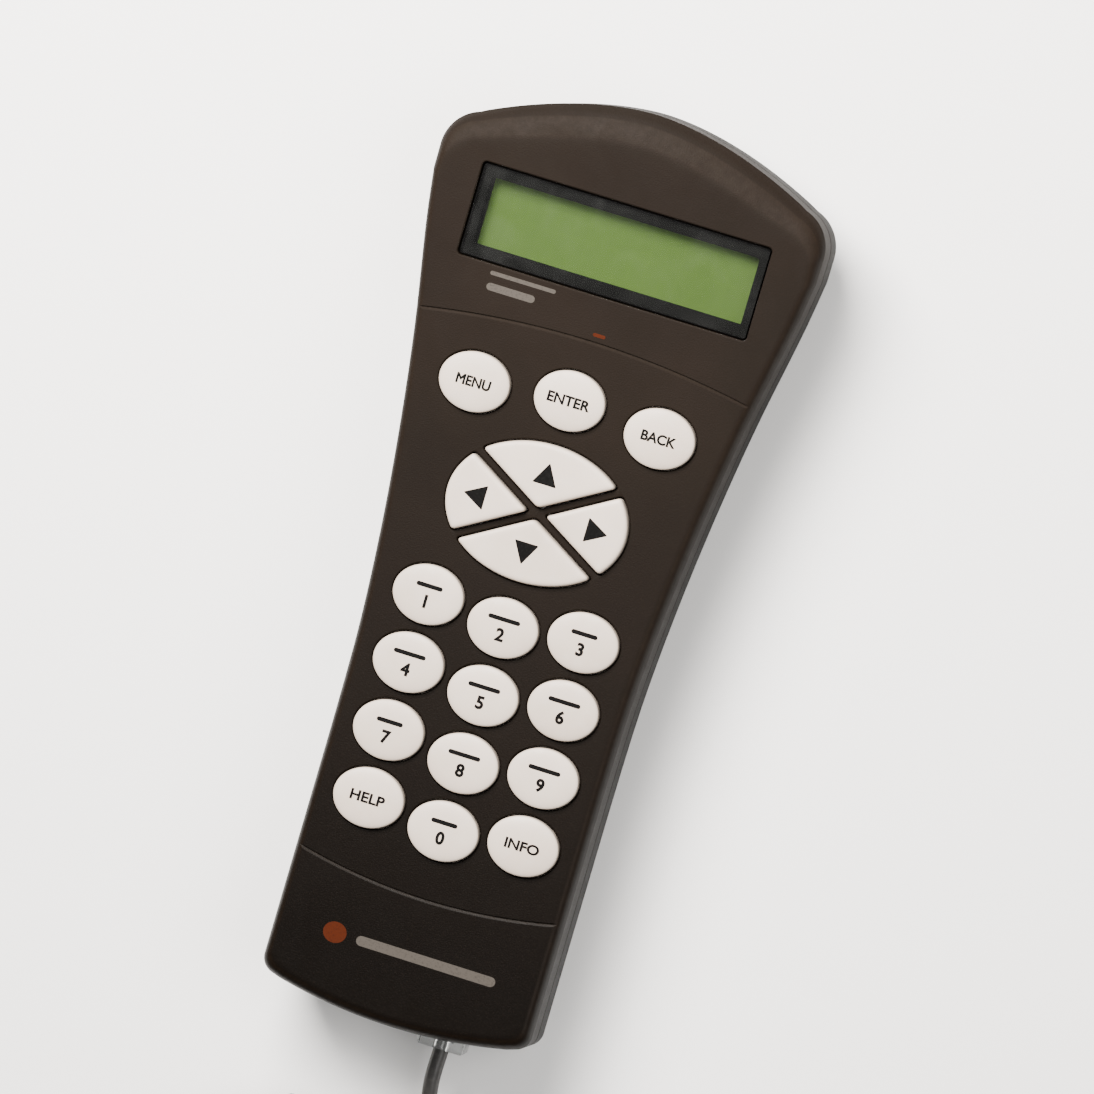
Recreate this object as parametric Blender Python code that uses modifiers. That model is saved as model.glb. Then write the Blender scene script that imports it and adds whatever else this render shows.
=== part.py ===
"""Hand controller: display, keypad, modular jacks and a curly cord with a plug on each end.

Dimensions are in millimetres and turned into metres by MM. The controller lies on its back:
+Z is out of its face and +Y is towards the display end. The cord lies past the other end.
"""

import math

import bmesh
import bpy
from mathutils import Matrix, Vector

MM = 0.001
GAP = 0.3

# Case
END_Y = 93.4
BODY_HALF = 28.0
HEAD_HALF = 39.75
FACE_Z = 27.0
CEILING_Z = 24.5
FLANK_TOP_Z = 24.0
FLANK_LOW_Z = 12.0
PARTING_Z = 18.0
WALL = 2.2
TONGUE = 0.9
TONGUE_TOP_Z = 19.3
BOTTOM_RISE = 3.1
BOTTOM_CORNER = (24.6, -86.9, 3.4)
# The flank's x and y from the straight grip up to the widest point.
FLANK = [(28.0, -84.0), (28.0, -40.0), (28.3, -20.0), (29.6, 0.0), (31.7, 20.0), (34.5, 40.0), (38.1, 60.0), (39.7, 71.0)]
SHOULDER = (31.3, 75.9, 8.45)
DOME_DROP = 0.0165
DOME_POWER = 1.8
GROOVE = (0.8, 0.35)
LABEL = (28.0, 46.0, -8.0)
LABEL_Z = (0.15, 0.4)

# Display, from the face down
DISPLAY_Y = 65.7
RECESS = (60.0, 19.0)
LEDGE_Z = 25.0
RIM = (65.0, 24.0)
RIM_Z = 23.5
OPENING = (57.5, 15.5)
VIEW = (55.0, 13.5)
WINDOW = (59.4, 18.4)
WINDOW_Z = (25.3, 26.3)
GASKET = (61.0, 20.0)
GASKET_Z = (22.7, 23.2)
FRAME = (60.6, 19.8)
FRAME_Z = (19.5, 22.4)
FRAME_SHEET = 0.3
CELL = (59.0, 18.2)
GLASS_Z = (20.8, 21.8)
BACKLIGHT_Z = (19.5, 20.5)
LCD_BOARD = (64.0, 29.8, 65.1)
LCD_BOARD_Z = (18.0, 19.2)

# Main board and keypad mat
BOARD_Z = (16.1, 17.7)
BOARD_EDGE = [(17.5, -87.4), (23.6, -79.0), (23.6, -20.0), (27.0, 20.0), (31.5, 50.0), (31.5, 79.4)]
MAT_Z = (18.3, 19.6)
MAT_EDGE = [(24.2, -60.6), (24.2, -20.0), (27.6, 20.0), (30.2, 42.6)]

# Keys
KEY = (7.15, 5.9)
KEY_SIDES = 18
KEY_TOP_Z = 28.8
KEY_ROUND = (0.7, 0.5)
FLANGE = 0.6
FLANGE_Z = (20.9, 24.2)
PLUNGER = (2.4, 2.0)
PLUNGER_Z = 19.2
MAT_HOLE = 0.5
COLUMN = 16.1
ROW = 13.9
FIRST_ROW_Y = -9.4
MIDDLE_DROP = 1.9
TOP_KEYS = {"key_menu": (-19.2, 33.2), "key_enter": (0.0, 35.1), "key_back": (19.2, 33.2)}
NUMBER_KEYS = [
    ["key_1", "key_2", "key_3"],
    ["key_4", "key_5", "key_6"],
    ["key_7", "key_8", "key_9"],
    ["key_help", "key_0", "key_info"],
]
PAD = (18.5, 13.85)
PAD_Y = 12.1
PAD_BAR = 1.4
PAD_ANGLE = 30.5
# Quarter turns clockwise from +Y.
PAD_KEYS = {"key_up": 0, "key_right": 1, "key_down": 2, "key_left": 3}

# Screws: where they stand
CASE_SCREWS = {
    "case_screw_top_left": (-10.0, 83.4),
    "case_screw_top_right": (10.0, 83.4),
    "case_screw_bottom_left": (-19.0, -66.0),
    "case_screw_bottom_right": (19.0, -66.0),
}
DISPLAY_SCREWS = {
    "board_screw_top_left": (-28.0, 77.9),
    "board_screw_top_right": (28.0, 77.9),
    "board_screw_middle_left": (-28.0, 52.0),
    "board_screw_middle_right": (28.0, 52.0),
}
KEYPAD_SCREWS = {
    "board_screw_lower_left": (-8.05, -45.2),
    "board_screw_lower_right": (8.05, -45.2),
}
# Screw sizes: head's low end, head radius, head height, shank radius, tip
CASE_SCREW = (2.4, 2.2, 1.9, 1.1, 23.2)
BOARD_SCREW = (14.6, 1.7, 1.2, 0.75, 22.8)
CASE_POST = 3.0
DISPLAY_POST = 1.7
KEYPAD_POST = 1.9
TUBE_POST = 3.5

# Jacks: middle, opening width, body width
CORD_JACK = (9.0, 10.1, 13.2)
SERIAL_JACK = (-10.5, 8.1, 11.2)
JACK_Z = (4.9, 15.8)
JACK_FACE_Y = -91.0
JACK_DEPTH = 15.5
SOCKET_DEPTH = 12.5
SOCKET_Z = (6.2, 7.6, 14.4)
LATCH_SLOT = 3.3

# Cord
WIRE = 3.2
COIL = 12.4
RING = 31.0
RING_CENTRE = (-8.0, -150.0)
COIL_START = 25.0
COIL_SWEEP = 300.0
COIL_STEPS = 26
COIL_Z = 6.4
PLUG_WIDTH = 9.5
PLUG_LATCH = 1.6
PLUG_LENGTH = 17.0
PLUG_OUT = 5.0
PLUG_Z = 10.95
PLUG_DOWN = (4.45, 3.05)
PLUG_UP = 3.15
# The inner lead's free points, between the plug and the curly part.
INNER_LEAD = [(9.0, -104.0, 10.6), (10.6, -113.0, 8.9), (15.0, -127.8, 7.0)]
# The outer lead's points: angle and radius on the ring, and height.
OUTER_LEAD = [
    (66.0, 29.2, 5.2),
    (49.0, 24.5, 3.2),
    (26.0, 19.0, 1.9),
    (-5.0, 16.0, 1.8),
    (-35.0, 14.7, 1.8),
    (-65.0, 14.0, 1.8),
    (-92.0, 13.4, 1.9),
    (-115.0, 13.2, 2.6),
]
OUTER_PLUG = (-16.0, -154.5, 4.65)

# Colour, roughness and metallic value of each material
MATERIALS = {
    "case": ((0.045, 0.038, 0.034, 1.0), 0.55, 0.0),
    "key": ((0.62, 0.60, 0.57, 1.0), 0.6, 0.0),
    "window": ((0.75, 0.8, 0.78, 1.0), 0.05, 0.0),
    "lcd": ((0.22, 0.3, 0.1, 1.0), 0.25, 0.0),
    "backlight": ((0.8, 0.82, 0.75, 1.0), 0.4, 0.0),
    "steel": ((0.55, 0.55, 0.55, 1.0), 0.35, 1.0),
    "board": ((0.02, 0.12, 0.05, 1.0), 0.45, 0.0),
    "mat": ((0.5, 0.5, 0.48, 1.0), 0.7, 0.0),
    "chip": ((0.02, 0.02, 0.022, 1.0), 0.5, 0.0),
    "foam": ((0.03, 0.03, 0.03, 1.0), 0.9, 0.0),
    "jack": ((0.03, 0.03, 0.032, 1.0), 0.4, 0.0),
    "label": ((0.6, 0.6, 0.6, 1.0), 0.4, 0.0),
    "cord": ((0.02, 0.02, 0.02, 1.0), 0.5, 0.0),
    "plug": ((0.7, 0.72, 0.74, 1.0), 0.15, 0.0),
}


def new_collection(name, hidden):
    collection = bpy.data.collections.new(name)
    bpy.context.scene.collection.children.link(collection)
    collection.hide_render = hidden
    return collection


def make_materials():
    for name, (colour, roughness, metallic) in MATERIALS.items():
        material = bpy.data.materials.new(name)
        material.use_nodes = True
        shader = material.node_tree.nodes["Principled BSDF"]
        shader.inputs["Base Color"].default_value = colour
        shader.inputs["Roughness"].default_value = roughness
        shader.inputs["Metallic"].default_value = metallic
        material.diffuse_color = colour


# Shapes, added to a bmesh in millimetres


def add_box(work, low, high):
    size = Vector(high) - Vector(low)
    middle = (Vector(high) + Vector(low)) / 2
    place = Matrix.Translation(middle) @ Matrix.Diagonal(size.to_4d())
    bmesh.ops.create_cube(work, size=1.0, matrix=place)


def add_post(work, x, y, z0, z1, radius, sides=12):
    place = Matrix.Translation((x, y, (z0 + z1) / 2))
    bmesh.ops.create_cone(
        work, cap_ends=True, segments=sides, radius1=radius, radius2=radius, depth=z1 - z0, matrix=place
    )


def add_slab(work, outline, z0, z1):
    """A flat outline pulled up from z0 to z1."""
    base = work.faces.new([work.verts.new((x, y, z0)) for x, y in outline])
    pulled = bmesh.ops.extrude_face_region(work, geom=[base], use_keep_orig=True)
    corners = [item for item in pulled["geom"] if isinstance(item, bmesh.types.BMVert)]
    bmesh.ops.translate(work, verts=corners, vec=(0.0, 0.0, z1 - z0))


def add_bar(work, section, y0, y1):
    """A section in X and Z pulled along Y."""
    base = work.faces.new([work.verts.new((x, y0, z)) for x, z in section])
    pulled = bmesh.ops.extrude_face_region(work, geom=[base], use_keep_orig=True)
    corners = [item for item in pulled["geom"] if isinstance(item, bmesh.types.BMVert)]
    bmesh.ops.translate(work, verts=corners, vec=(0.0, y1 - y0, 0.0))


def add_loft(work, rings):
    """Rings of equal length joined in turn, with a cap on each end. A ring is an outline and its height."""
    levels = [[work.verts.new((x, y, z)) for x, y in outline] for outline, z in rings]
    work.faces.new(levels[0])
    work.faces.new(levels[-1])
    count = len(levels[0])
    for low, high in zip(levels, levels[1:]):
        for i in range(count):
            j = (i + 1) % count
            work.faces.new((low[i], low[j], high[j], high[i]))


def link(obj, slot):
    """Puts a part in its collection with its material, or a cutter, which has no slot, in the other."""
    if slot is None:
        CUTTERS.objects.link(obj)
        obj.hide_render = True
        obj.display_type = "WIRE"
        return
    PARTS.objects.link(obj)
    obj.data.materials.append(bpy.data.materials[slot])


def finish(work, name, slot=None, origin=(0.0, 0.0, 0.0)):
    """Turns the bmesh into an object in metres, whose origin is at the given point."""
    place = Matrix.Scale(MM, 4) @ Matrix.Translation(-Vector(origin))
    bmesh.ops.transform(work, matrix=place, verts=work.verts)
    bmesh.ops.recalc_face_normals(work, faces=work.faces)
    mesh = bpy.data.meshes.new(name)
    work.to_mesh(mesh)
    work.free()
    obj = bpy.data.objects.new(name, mesh)
    obj.location = Vector(origin) * MM
    link(obj, slot)
    return obj


def slab(name, outline, z0, z1, slot=None):
    work = bmesh.new()
    add_slab(work, outline, z0, z1)
    return finish(work, name, slot)


def posts(name, places, z0, z1, radius):
    """One cutter or filler with an upright cylinder at each place."""
    work = bmesh.new()
    for x, y in places:
        add_post(work, x, y, z0, z1, radius)
    return finish(work, name)


def boolean(target, other, operation="DIFFERENCE"):
    modifier = target.modifiers.new(other.name, "BOOLEAN")
    modifier.operation = operation
    modifier.solver = "EXACT"
    modifier.object = other


# Outlines


def rectangle(size, y=0.0):
    w = size[0] / 2
    h = size[1] / 2
    return [(-w, y - h), (w, y - h), (w, y + h), (-w, y + h)]


def both_sides(right):
    """An outline that is symmetric in X, from its right half."""
    return list(right) + [(-x, y) for x, y in reversed(right)]


def arc(centre_x, centre_y, radius, start, stop, steps):
    turns = [math.radians(start + (stop - start) * i / steps) for i in range(steps + 1)]
    return [(centre_x + radius * math.cos(t), centre_y + radius * math.sin(t)) for t in turns]


def ellipse(size, x, y, sides=KEY_SIDES):
    turns = [2 * math.pi * i / sides for i in range(sides)]
    return [(x + size[0] * math.cos(t), y + size[1] * math.sin(t)) for t in turns]


def resized(outline, ratio):
    x0 = sum(x for x, _ in outline) / len(outline)
    y0 = sum(y for _, y in outline) / len(outline)
    return [(x0 + (x - x0) * ratio, y0 + (y - y0) * ratio) for x, y in outline]


def smooth_route(knots, steps):
    """A Catmull-Rom curve through the knots, with steps points to each stretch."""
    ends = [Vector(knot) for knot in [knots[0], *knots, knots[-1]]]
    route = []
    for a, b, c, d in zip(ends, ends[1:], ends[2:], ends[3:]):
        for step in range(steps):
            t = step / steps
            bend = (2 * a - 5 * b + 4 * c - d) * t**2 + (3 * b - a - 3 * c + d) * t**3
            route.append(tuple((2 * b + (c - a) * t + bend) / 2))
    route.append(tuple(knots[-1]))
    return route


def half_outline():
    """The case's right side seen from the front, from near the bottom's middle to near the top's."""
    corner_x, corner_y, corner_radius = BOTTOM_CORNER
    bottom_x = corner_x + corner_radius * math.cos(math.radians(-72.0))
    bottom = []
    for i in range(1, 4):
        x = bottom_x * i / 4
        bottom.append((x, -END_Y + BOTTOM_RISE * (x / bottom_x) ** 2))
    corner = arc(corner_x, corner_y, corner_radius, -72.0, 0.0, 3)
    flank = [FLANK[0]] + smooth_route(FLANK[1:], 2)
    shoulder = arc(*SHOULDER, 0.0, 72.0, 5)
    dome = []
    dome_x = shoulder[-1][0]
    for i in range(5, 0, -1):
        x = dome_x * i / 6
        dome.append((x, END_Y - DOME_DROP * x**DOME_POWER))
    return bottom + corner + flank + shoulder + dome


HALF_OUTLINE = half_outline()


def case_outline():
    left = [(-x, y) for x, y in reversed(HALF_OUTLINE)]
    return [(0.0, -END_Y)] + HALF_OUTLINE + [(0.0, END_Y)] + left


def half_width(y):
    """The case's half width at this height, or at the nearest widest place beyond the flank."""
    if y <= FLANK[0][1]:
        return BODY_HALF
    if y >= FLANK[-1][1]:
        return HEAD_HALF
    for (x0, y0), (x1, y1) in zip(HALF_OUTLINE, HALF_OUTLINE[1:]):
        if y0 <= y <= y1:
            return x0 + (x1 - x0) * (y - y0) / (y1 - y0)
    return HEAD_HALF


def smoothstep(value, low, high):
    t = min(max((value - low) / (high - low), 0.0), 1.0)
    return t * t * (3 - 2 * t)


def inset(side, end=None, brow=0.0):
    """The case outline drawn in by side, by end at the bottom, and by brow more towards the top."""
    drawn = []
    for x, y in case_outline():
        across = side + 0.35 * brow * smoothstep(y, 72.0, 88.0)
        along = side + brow * smoothstep(y, 72.0, 92.0)
        if y < 0 and end is not None:
            along = end
        drawn.append((x * (1 - across / half_width(y)), y * (1 - along / END_Y)))
    return drawn


def groove_outline(half, end_y, rise, steps=12):
    """A thin arc across the face: its ends are at end_y and its middle is higher by rise."""
    upper = []
    lower = []
    for i in range(steps + 1):
        x = -half + 2 * half * i / steps
        y = end_y + rise * (1 - (x / half) ** 2)
        upper.append((x, y + GROOVE[0] / 2))
        lower.append((x, y - GROOVE[0] / 2))
    return lower + upper[::-1]


def oval_places():
    """Where each oval key is."""
    places = dict(TOP_KEYS)
    for row, names in enumerate(NUMBER_KEYS):
        for column, name in enumerate(names):
            drop = MIDDLE_DROP if column == 1 else 0.0
            places[name] = (COLUMN * (column - 1), FIRST_ROW_Y - ROW * row - drop)
    return places


def pad_sector(quarter, grow, side):
    """A quarter of the oval pad. grow widens its arc, and side is its distance from the bars' middles."""
    angle = math.radians(PAD_ANGLE)
    half = angle if quarter % 2 else math.pi / 2 - angle
    middle = math.pi / 2 - quarter * math.pi / 2
    across = PAD[0] + grow
    along = PAD[1] + grow
    tip = Vector((math.cos(middle), math.sin(middle))) * side / math.sin(half)
    ends = []
    for turn in (middle - half, middle + half):
        ray = Vector((math.cos(turn), math.sin(turn)))
        a = (ray.x / across) ** 2 + (ray.y / along) ** 2
        b = tip.x * ray.x / across**2 + tip.y * ray.y / along**2
        c = (tip.x / across) ** 2 + (tip.y / along) ** 2 - 1
        end = tip + ray * (math.sqrt(b * b - a * c) - b) / a
        ends.append(math.atan2(end.y / along, end.x / across))
    if ends[1] < ends[0]:
        ends[1] += 2 * math.pi
    steps = 6 if quarter % 2 else 10
    outline = [(tip.x, tip.y + PAD_Y)]
    for i in range(steps + 1):
        t = ends[0] + (ends[1] - ends[0]) * i / steps
        outline.append((across * math.cos(t), along * math.sin(t) + PAD_Y))
    return outline


# Parts


def make_front_shell():
    work = bmesh.new()
    rings = [
        (inset(3.0, brow=4.6), CEILING_Z),
        (inset(2.4, brow=2.4), CEILING_Z - 0.9),
        (inset(WALL), TONGUE_TOP_Z + GAP),
        (inset(WALL), PARTING_Z),
        (inset(0.0), PARTING_Z),
        (inset(0.0), FLANK_TOP_Z),
        (inset(0.35, brow=1.2), 25.4),
        (inset(0.9, brow=3.2), 26.4),
        (inset(1.7, brow=5.0), 26.9),
        (inset(2.6, brow=6.6), FACE_Z),
    ]
    add_loft(work, rings)
    shell = finish(work, "front_shell", "case")

    boolean(shell, slab("display_rim", rectangle(RIM, DISPLAY_Y), RIM_Z, CEILING_Z + GAP), "UNION")
    top = CEILING_Z + 0.5
    fillers = [
        posts("case_posts", CASE_SCREWS.values(), PARTING_Z + GAP, top, CASE_POST),
        posts("display_posts", DISPLAY_SCREWS.values(), LCD_BOARD_Z[1] + GAP, top, DISPLAY_POST),
        posts("keypad_posts", KEYPAD_SCREWS.values(), BOARD_Z[1] + GAP, top, KEYPAD_POST),
    ]
    for filler in fillers:
        boolean(shell, filler, "UNION")
    board_screws = [*DISPLAY_SCREWS.values(), *KEYPAD_SCREWS.values()]
    boolean(shell, posts("case_pilots", CASE_SCREWS.values(), BOARD_Z[0], CASE_SCREW[4] + GAP, 1.4))
    boolean(shell, posts("board_pilots", board_screws, BOARD_Z[0], BOARD_SCREW[4] + GAP, 1.05))
    boolean(shell, slab("recess", rectangle(RECESS, DISPLAY_Y), LEDGE_Z, FACE_Z + 1))
    boolean(shell, slab("opening", rectangle(OPENING, DISPLAY_Y), RIM_Z - 1, FACE_Z + 1))

    work = bmesh.new()
    size = (KEY[0] + GAP, KEY[1] + GAP)
    for x, y in oval_places().values():
        add_slab(work, ellipse(size, x, y), CEILING_Z - 1, FACE_Z + 1)
    for quarter in PAD_KEYS.values():
        add_slab(work, pad_sector(quarter, GAP, PAD_BAR / 2), CEILING_Z - 1, FACE_Z + 1)
    boolean(shell, finish(work, "key_holes"))

    work = bmesh.new()
    for outline in (groove_outline(34.6, 43.9, 3.3), groove_outline(27.2, -64.0, -3.2)):
        add_slab(work, outline, FACE_Z - GROOVE[1], FACE_Z + 1)
    boolean(shell, finish(work, "grooves"))


def make_back_shell():
    rim_z = PARTING_Z - GAP
    inner = WALL + GAP + TONGUE
    work = bmesh.new()
    rings = [
        (inset(8.5, 3.9), 2.2),
        (inset(5.6, inner), 4.4),
        (inset(3.9, 3.0), 9.0),
        (inset(inner, 3.0), 13.0),
        (inset(inner, 3.0), TONGUE_TOP_Z),
        (inset(WALL + GAP), TONGUE_TOP_Z),
        (inset(WALL + GAP), rim_z),
        (inset(0.0), rim_z),
        (inset(0.0), FLANK_LOW_Z),
        (inset(1.3, 0.5), 8.0),
        (inset(3.3, 1.2), 4.0),
        (inset(5.9, 2.2), 1.3),
        (inset(8.9, 3.8), 0.25),
        (inset(10.5, 5.0), 0.0),
    ]
    add_loft(work, rings)
    shell = finish(work, "back_shell", "case")

    places = CASE_SCREWS.values()
    boolean(shell, posts("screw_tubes", places, 1.8, PARTING_Z, TUBE_POST), "UNION")
    boolean(shell, posts("screw_heads", places, -1.0, CASE_SCREW[0] + CASE_SCREW[2] + GAP, 2.6))
    boolean(shell, posts("screw_shanks", places, 3.0, TONGUE_TOP_Z + 1, 1.5))
    work = bmesh.new()
    clear = GAP + 0.05
    for middle, _, body in (CORD_JACK, SERIAL_JACK):
        half = body / 2 + clear
        low = (middle - half, -END_Y - 5, JACK_Z[0] - clear)
        high = (middle + half, JACK_FACE_Y + 6, JACK_Z[1] + clear)
        add_box(work, low, high)
    boolean(shell, finish(work, "jack_windows"))
    size = (LABEL[0] + 2 * GAP, LABEL[1] + 2 * GAP)
    boolean(shell, slab("label_recess", rectangle(size, LABEL[2]), -1.0, LABEL_Z[1] + GAP))


def make_key(name, centre, plunger, flange, neck, top):
    work = bmesh.new()
    rings = [
        (plunger, PLUNGER_Z),
        (plunger, FLANGE_Z[0]),
        (flange, FLANGE_Z[0]),
        (flange, FLANGE_Z[1]),
        (neck, FLANGE_Z[1]),
        (neck, KEY_TOP_Z - KEY_ROUND[1]),
        (top, KEY_TOP_Z),
    ]
    add_loft(work, rings)
    finish(work, name, "key", (*centre, FACE_Z))


def make_keys():
    for name, (x, y) in oval_places().items():
        flange = ellipse((KEY[0] + FLANGE, KEY[1] + FLANGE), x, y)
        top = ellipse((KEY[0] - KEY_ROUND[0], KEY[1] - KEY_ROUND[0]), x, y)
        make_key(name, (x, y), ellipse(PLUNGER, x, y), flange, ellipse(KEY, x, y), top)
    side = PAD_BAR / 2 + GAP
    for name, quarter in PAD_KEYS.items():
        neck = pad_sector(quarter, 0.0, side)
        centre = (sum(x for x, _ in neck) / len(neck), sum(y for _, y in neck) / len(neck))
        flange = pad_sector(quarter, FLANGE, side)
        make_key(name, centre, resized(neck, 0.4), flange, neck, resized(neck, 0.9))


def make_mat():
    mat = slab("keypad_mat", both_sides(MAT_EDGE), *MAT_Z, "mat")
    work = bmesh.new()
    low = MAT_Z[0] - 1
    high = MAT_Z[1] + 1
    for x, y in oval_places().values():
        add_slab(work, ellipse((PLUNGER[0] + MAT_HOLE, PLUNGER[1] + MAT_HOLE), x, y, 12), low, high)
    for quarter in PAD_KEYS.values():
        neck = pad_sector(quarter, 0.0, PAD_BAR / 2 + GAP)
        add_slab(work, resized(neck, 0.52), low, high)
    for x, y in KEYPAD_SCREWS.values():
        add_post(work, x, y, low, high, KEYPAD_POST + 0.4)
    boolean(mat, finish(work, "mat_holes"))


def make_display():
    slab("display_window", rectangle(WINDOW, DISPLAY_Y), *WINDOW_Z, "window")
    gasket = slab("lcd_gasket", rectangle(GASKET, DISPLAY_Y), *GASKET_Z, "foam")
    boolean(gasket, slab("gasket_hole", rectangle(OPENING, DISPLAY_Y), GASKET_Z[0] - 1, GASKET_Z[1] + 1))
    frame = slab("lcd_frame", rectangle(FRAME, DISPLAY_Y), *FRAME_Z, "steel")
    lip = FRAME_Z[1] - FRAME_SHEET
    hollow = (FRAME[0] - 2 * FRAME_SHEET, FRAME[1] - 2 * FRAME_SHEET)
    boolean(frame, slab("frame_hollow", rectangle(hollow, DISPLAY_Y), FRAME_Z[0] - 1, lip))
    boolean(frame, slab("frame_view", rectangle(VIEW, DISPLAY_Y), lip - 1, FRAME_Z[1] + 1))
    slab("lcd_glass", rectangle(CELL, DISPLAY_Y), *GLASS_Z, "lcd")
    slab("lcd_backlight", rectangle(CELL, DISPLAY_Y), *BACKLIGHT_Z, "backlight")
    board = slab("lcd_board", rectangle(LCD_BOARD[:2], LCD_BOARD[2]), *LCD_BOARD_Z, "board")
    boolean(board, posts("lcd_board_holes", DISPLAY_SCREWS.values(), 17.0, 20.0, 1.15))


def make_main_board():
    board = slab("main_board", both_sides(BOARD_EDGE), *BOARD_Z, "board")
    work = bmesh.new()
    low = BOARD_Z[0] - 1
    high = BOARD_Z[1] + 1
    for x, y in [*DISPLAY_SCREWS.values(), *KEYPAD_SCREWS.values()]:
        add_post(work, x, y, low, high, 1.15)
    for x, y in (CASE_SCREWS["case_screw_bottom_left"], CASE_SCREWS["case_screw_bottom_right"]):
        outer = math.copysign(BODY_HALF, x)
        inner = math.copysign(abs(x) - 4.0, x)
        add_box(work, (min(inner, outer), y - 4.0, low), (max(inner, outer), y + 4.0, high))
    boolean(board, finish(work, "board_cuts"))


def make_chip(name, middle, size, slot="chip"):
    """A package on the back of the main board."""
    top = BOARD_Z[0] - GAP
    work = bmesh.new()
    low = (middle[0] - size[0] / 2, middle[1] - size[1] / 2, top - size[2])
    high = (middle[0] + size[0] / 2, middle[1] + size[1] / 2, top)
    add_box(work, low, high)
    return finish(work, name, slot)


def make_electronics():
    make_chip("processor", (0.0, 20.0), (14.0, 14.0, 1.6))
    make_chip("memory_chip", (-14.0, -3.0), (8.0, 10.0, 1.8))
    make_chip("serial_driver", (-11.0, -56.5), (10.0, 7.0, 1.8))
    top = BOARD_Z[0] - GAP
    can = arc(16.6, 20.0, 2.3, -90.0, 90.0, 6) + arc(11.4, 20.0, 2.3, 90.0, 270.0, 6)
    slab("crystal", can, top - 3.5, top, "steel")
    header = make_chip("lcd_header", (0.0, 76.6), (41.0, 2.6, 2.5))
    work = bmesh.new()
    for i in range(8):
        x = 5.0 * i - 17.5
        add_box(work, (x - 0.35, 76.25, top - 4.0), (x + 0.35, 76.95, top - 1.0))
    boolean(header, finish(work, "header_pins"), "UNION")


def make_screw(name, x, y, size):
    """A pan-head screw that points up, turned from its profile, with a round socket in its head."""
    head_z, head_radius, head_height, shank_radius, tip_z = size
    socket = 0.5 * head_radius
    profile = [
        (0.0, tip_z),
        (0.5 * shank_radius, tip_z),
        (shank_radius, tip_z - 0.6),
        (shank_radius, head_z + head_height),
        (head_radius, head_z + head_height),
        (head_radius, head_z + 0.4),
        (head_radius - 0.3, head_z),
        (socket, head_z),
        (socket, head_z + 0.5 * head_height),
        (0.0, head_z + 0.5 * head_height),
    ]
    mesh = bpy.data.meshes.new(name)
    points = [(radius * MM, 0.0, z * MM) for radius, z in profile]
    mesh.from_pydata(points, [(i, i + 1) for i in range(len(points) - 1)], [])
    obj = bpy.data.objects.new(name, mesh)
    obj.location = (x * MM, y * MM, 0.0)
    turned = obj.modifiers.new("Screw", "SCREW")
    turned.steps = 12
    turned.render_steps = 12
    turned.use_merge_vertices = True
    turned.merge_threshold = 0.00001
    link(obj, "steel")


def make_screws():
    for name, (x, y) in CASE_SCREWS.items():
        make_screw(name, x, y, CASE_SCREW)
    for name, (x, y) in {**DISPLAY_SCREWS, **KEYPAD_SCREWS}.items():
        make_screw(name, x, y, BOARD_SCREW)


def tee_section(middle, half, slot, low, shoulder, high):
    """A modular connector's section in X and Z: its body, and its narrower latch below."""
    right = [(slot, low), (slot, shoulder), (half, shoulder), (half, high)]
    return [(middle + x, z) for x, z in both_sides(right)]


def make_jack(name, place):
    middle, opening, body = place
    work = bmesh.new()
    low = (middle - body / 2, JACK_FACE_Y, JACK_Z[0])
    high = (middle + body / 2, JACK_FACE_Y + JACK_DEPTH, JACK_Z[1])
    add_box(work, low, high)
    jack = finish(work, name, "jack")
    work = bmesh.new()
    section = tee_section(middle, opening / 2, LATCH_SLOT, *SOCKET_Z)
    add_bar(work, section, JACK_FACE_Y - 1, JACK_FACE_Y + SOCKET_DEPTH)
    boolean(jack, finish(work, name + "_socket"))


def make_label():
    x = LABEL[0] / 2 - 2.0
    y = LABEL[1] / 2 - 2.0
    right = arc(x, LABEL[2] - y, 2.0, -90.0, 0.0, 3) + arc(x, LABEL[2] + y, 2.0, 0.0, 90.0, 3)
    slab("back_label", both_sides(right), *LABEL_Z, "label")


def make_tube(name, route, diameter):
    curve = bpy.data.curves.new(name, "CURVE")
    curve.dimensions = "3D"
    curve.bevel_depth = diameter / 2 * MM
    curve.bevel_resolution = 2
    curve.use_fill_caps = True
    spline = curve.splines.new("POLY")
    spline.points.add(len(route) - 1)
    for point, place in zip(spline.points, route):
        point.co = (*(Vector(place) * MM), 1.0)
    link(bpy.data.objects.new(name, curve), "cord")


def make_plug(name, x, y, z):
    """A modular plug lying along Y with its cord end at y, its latch under it and z at its body's middle."""
    work = bmesh.new()
    section = tee_section(x, PLUG_WIDTH / 2, PLUG_LATCH, z - PLUG_DOWN[0], z - PLUG_DOWN[1], z + PLUG_UP)
    add_bar(work, section, y, y + PLUG_LENGTH)
    finish(work, name, "plug")


def ring_point(degrees, radius, z):
    t = math.radians(degrees)
    return Vector((RING_CENTRE[0] + radius * math.cos(t), RING_CENTRE[1] + radius * math.sin(t), z))


def along_ring(degrees):
    """The way the cord runs at this angle: clockwise seen from above."""
    t = math.radians(degrees)
    return Vector((math.sin(t), -math.cos(t), 0.0))


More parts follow.
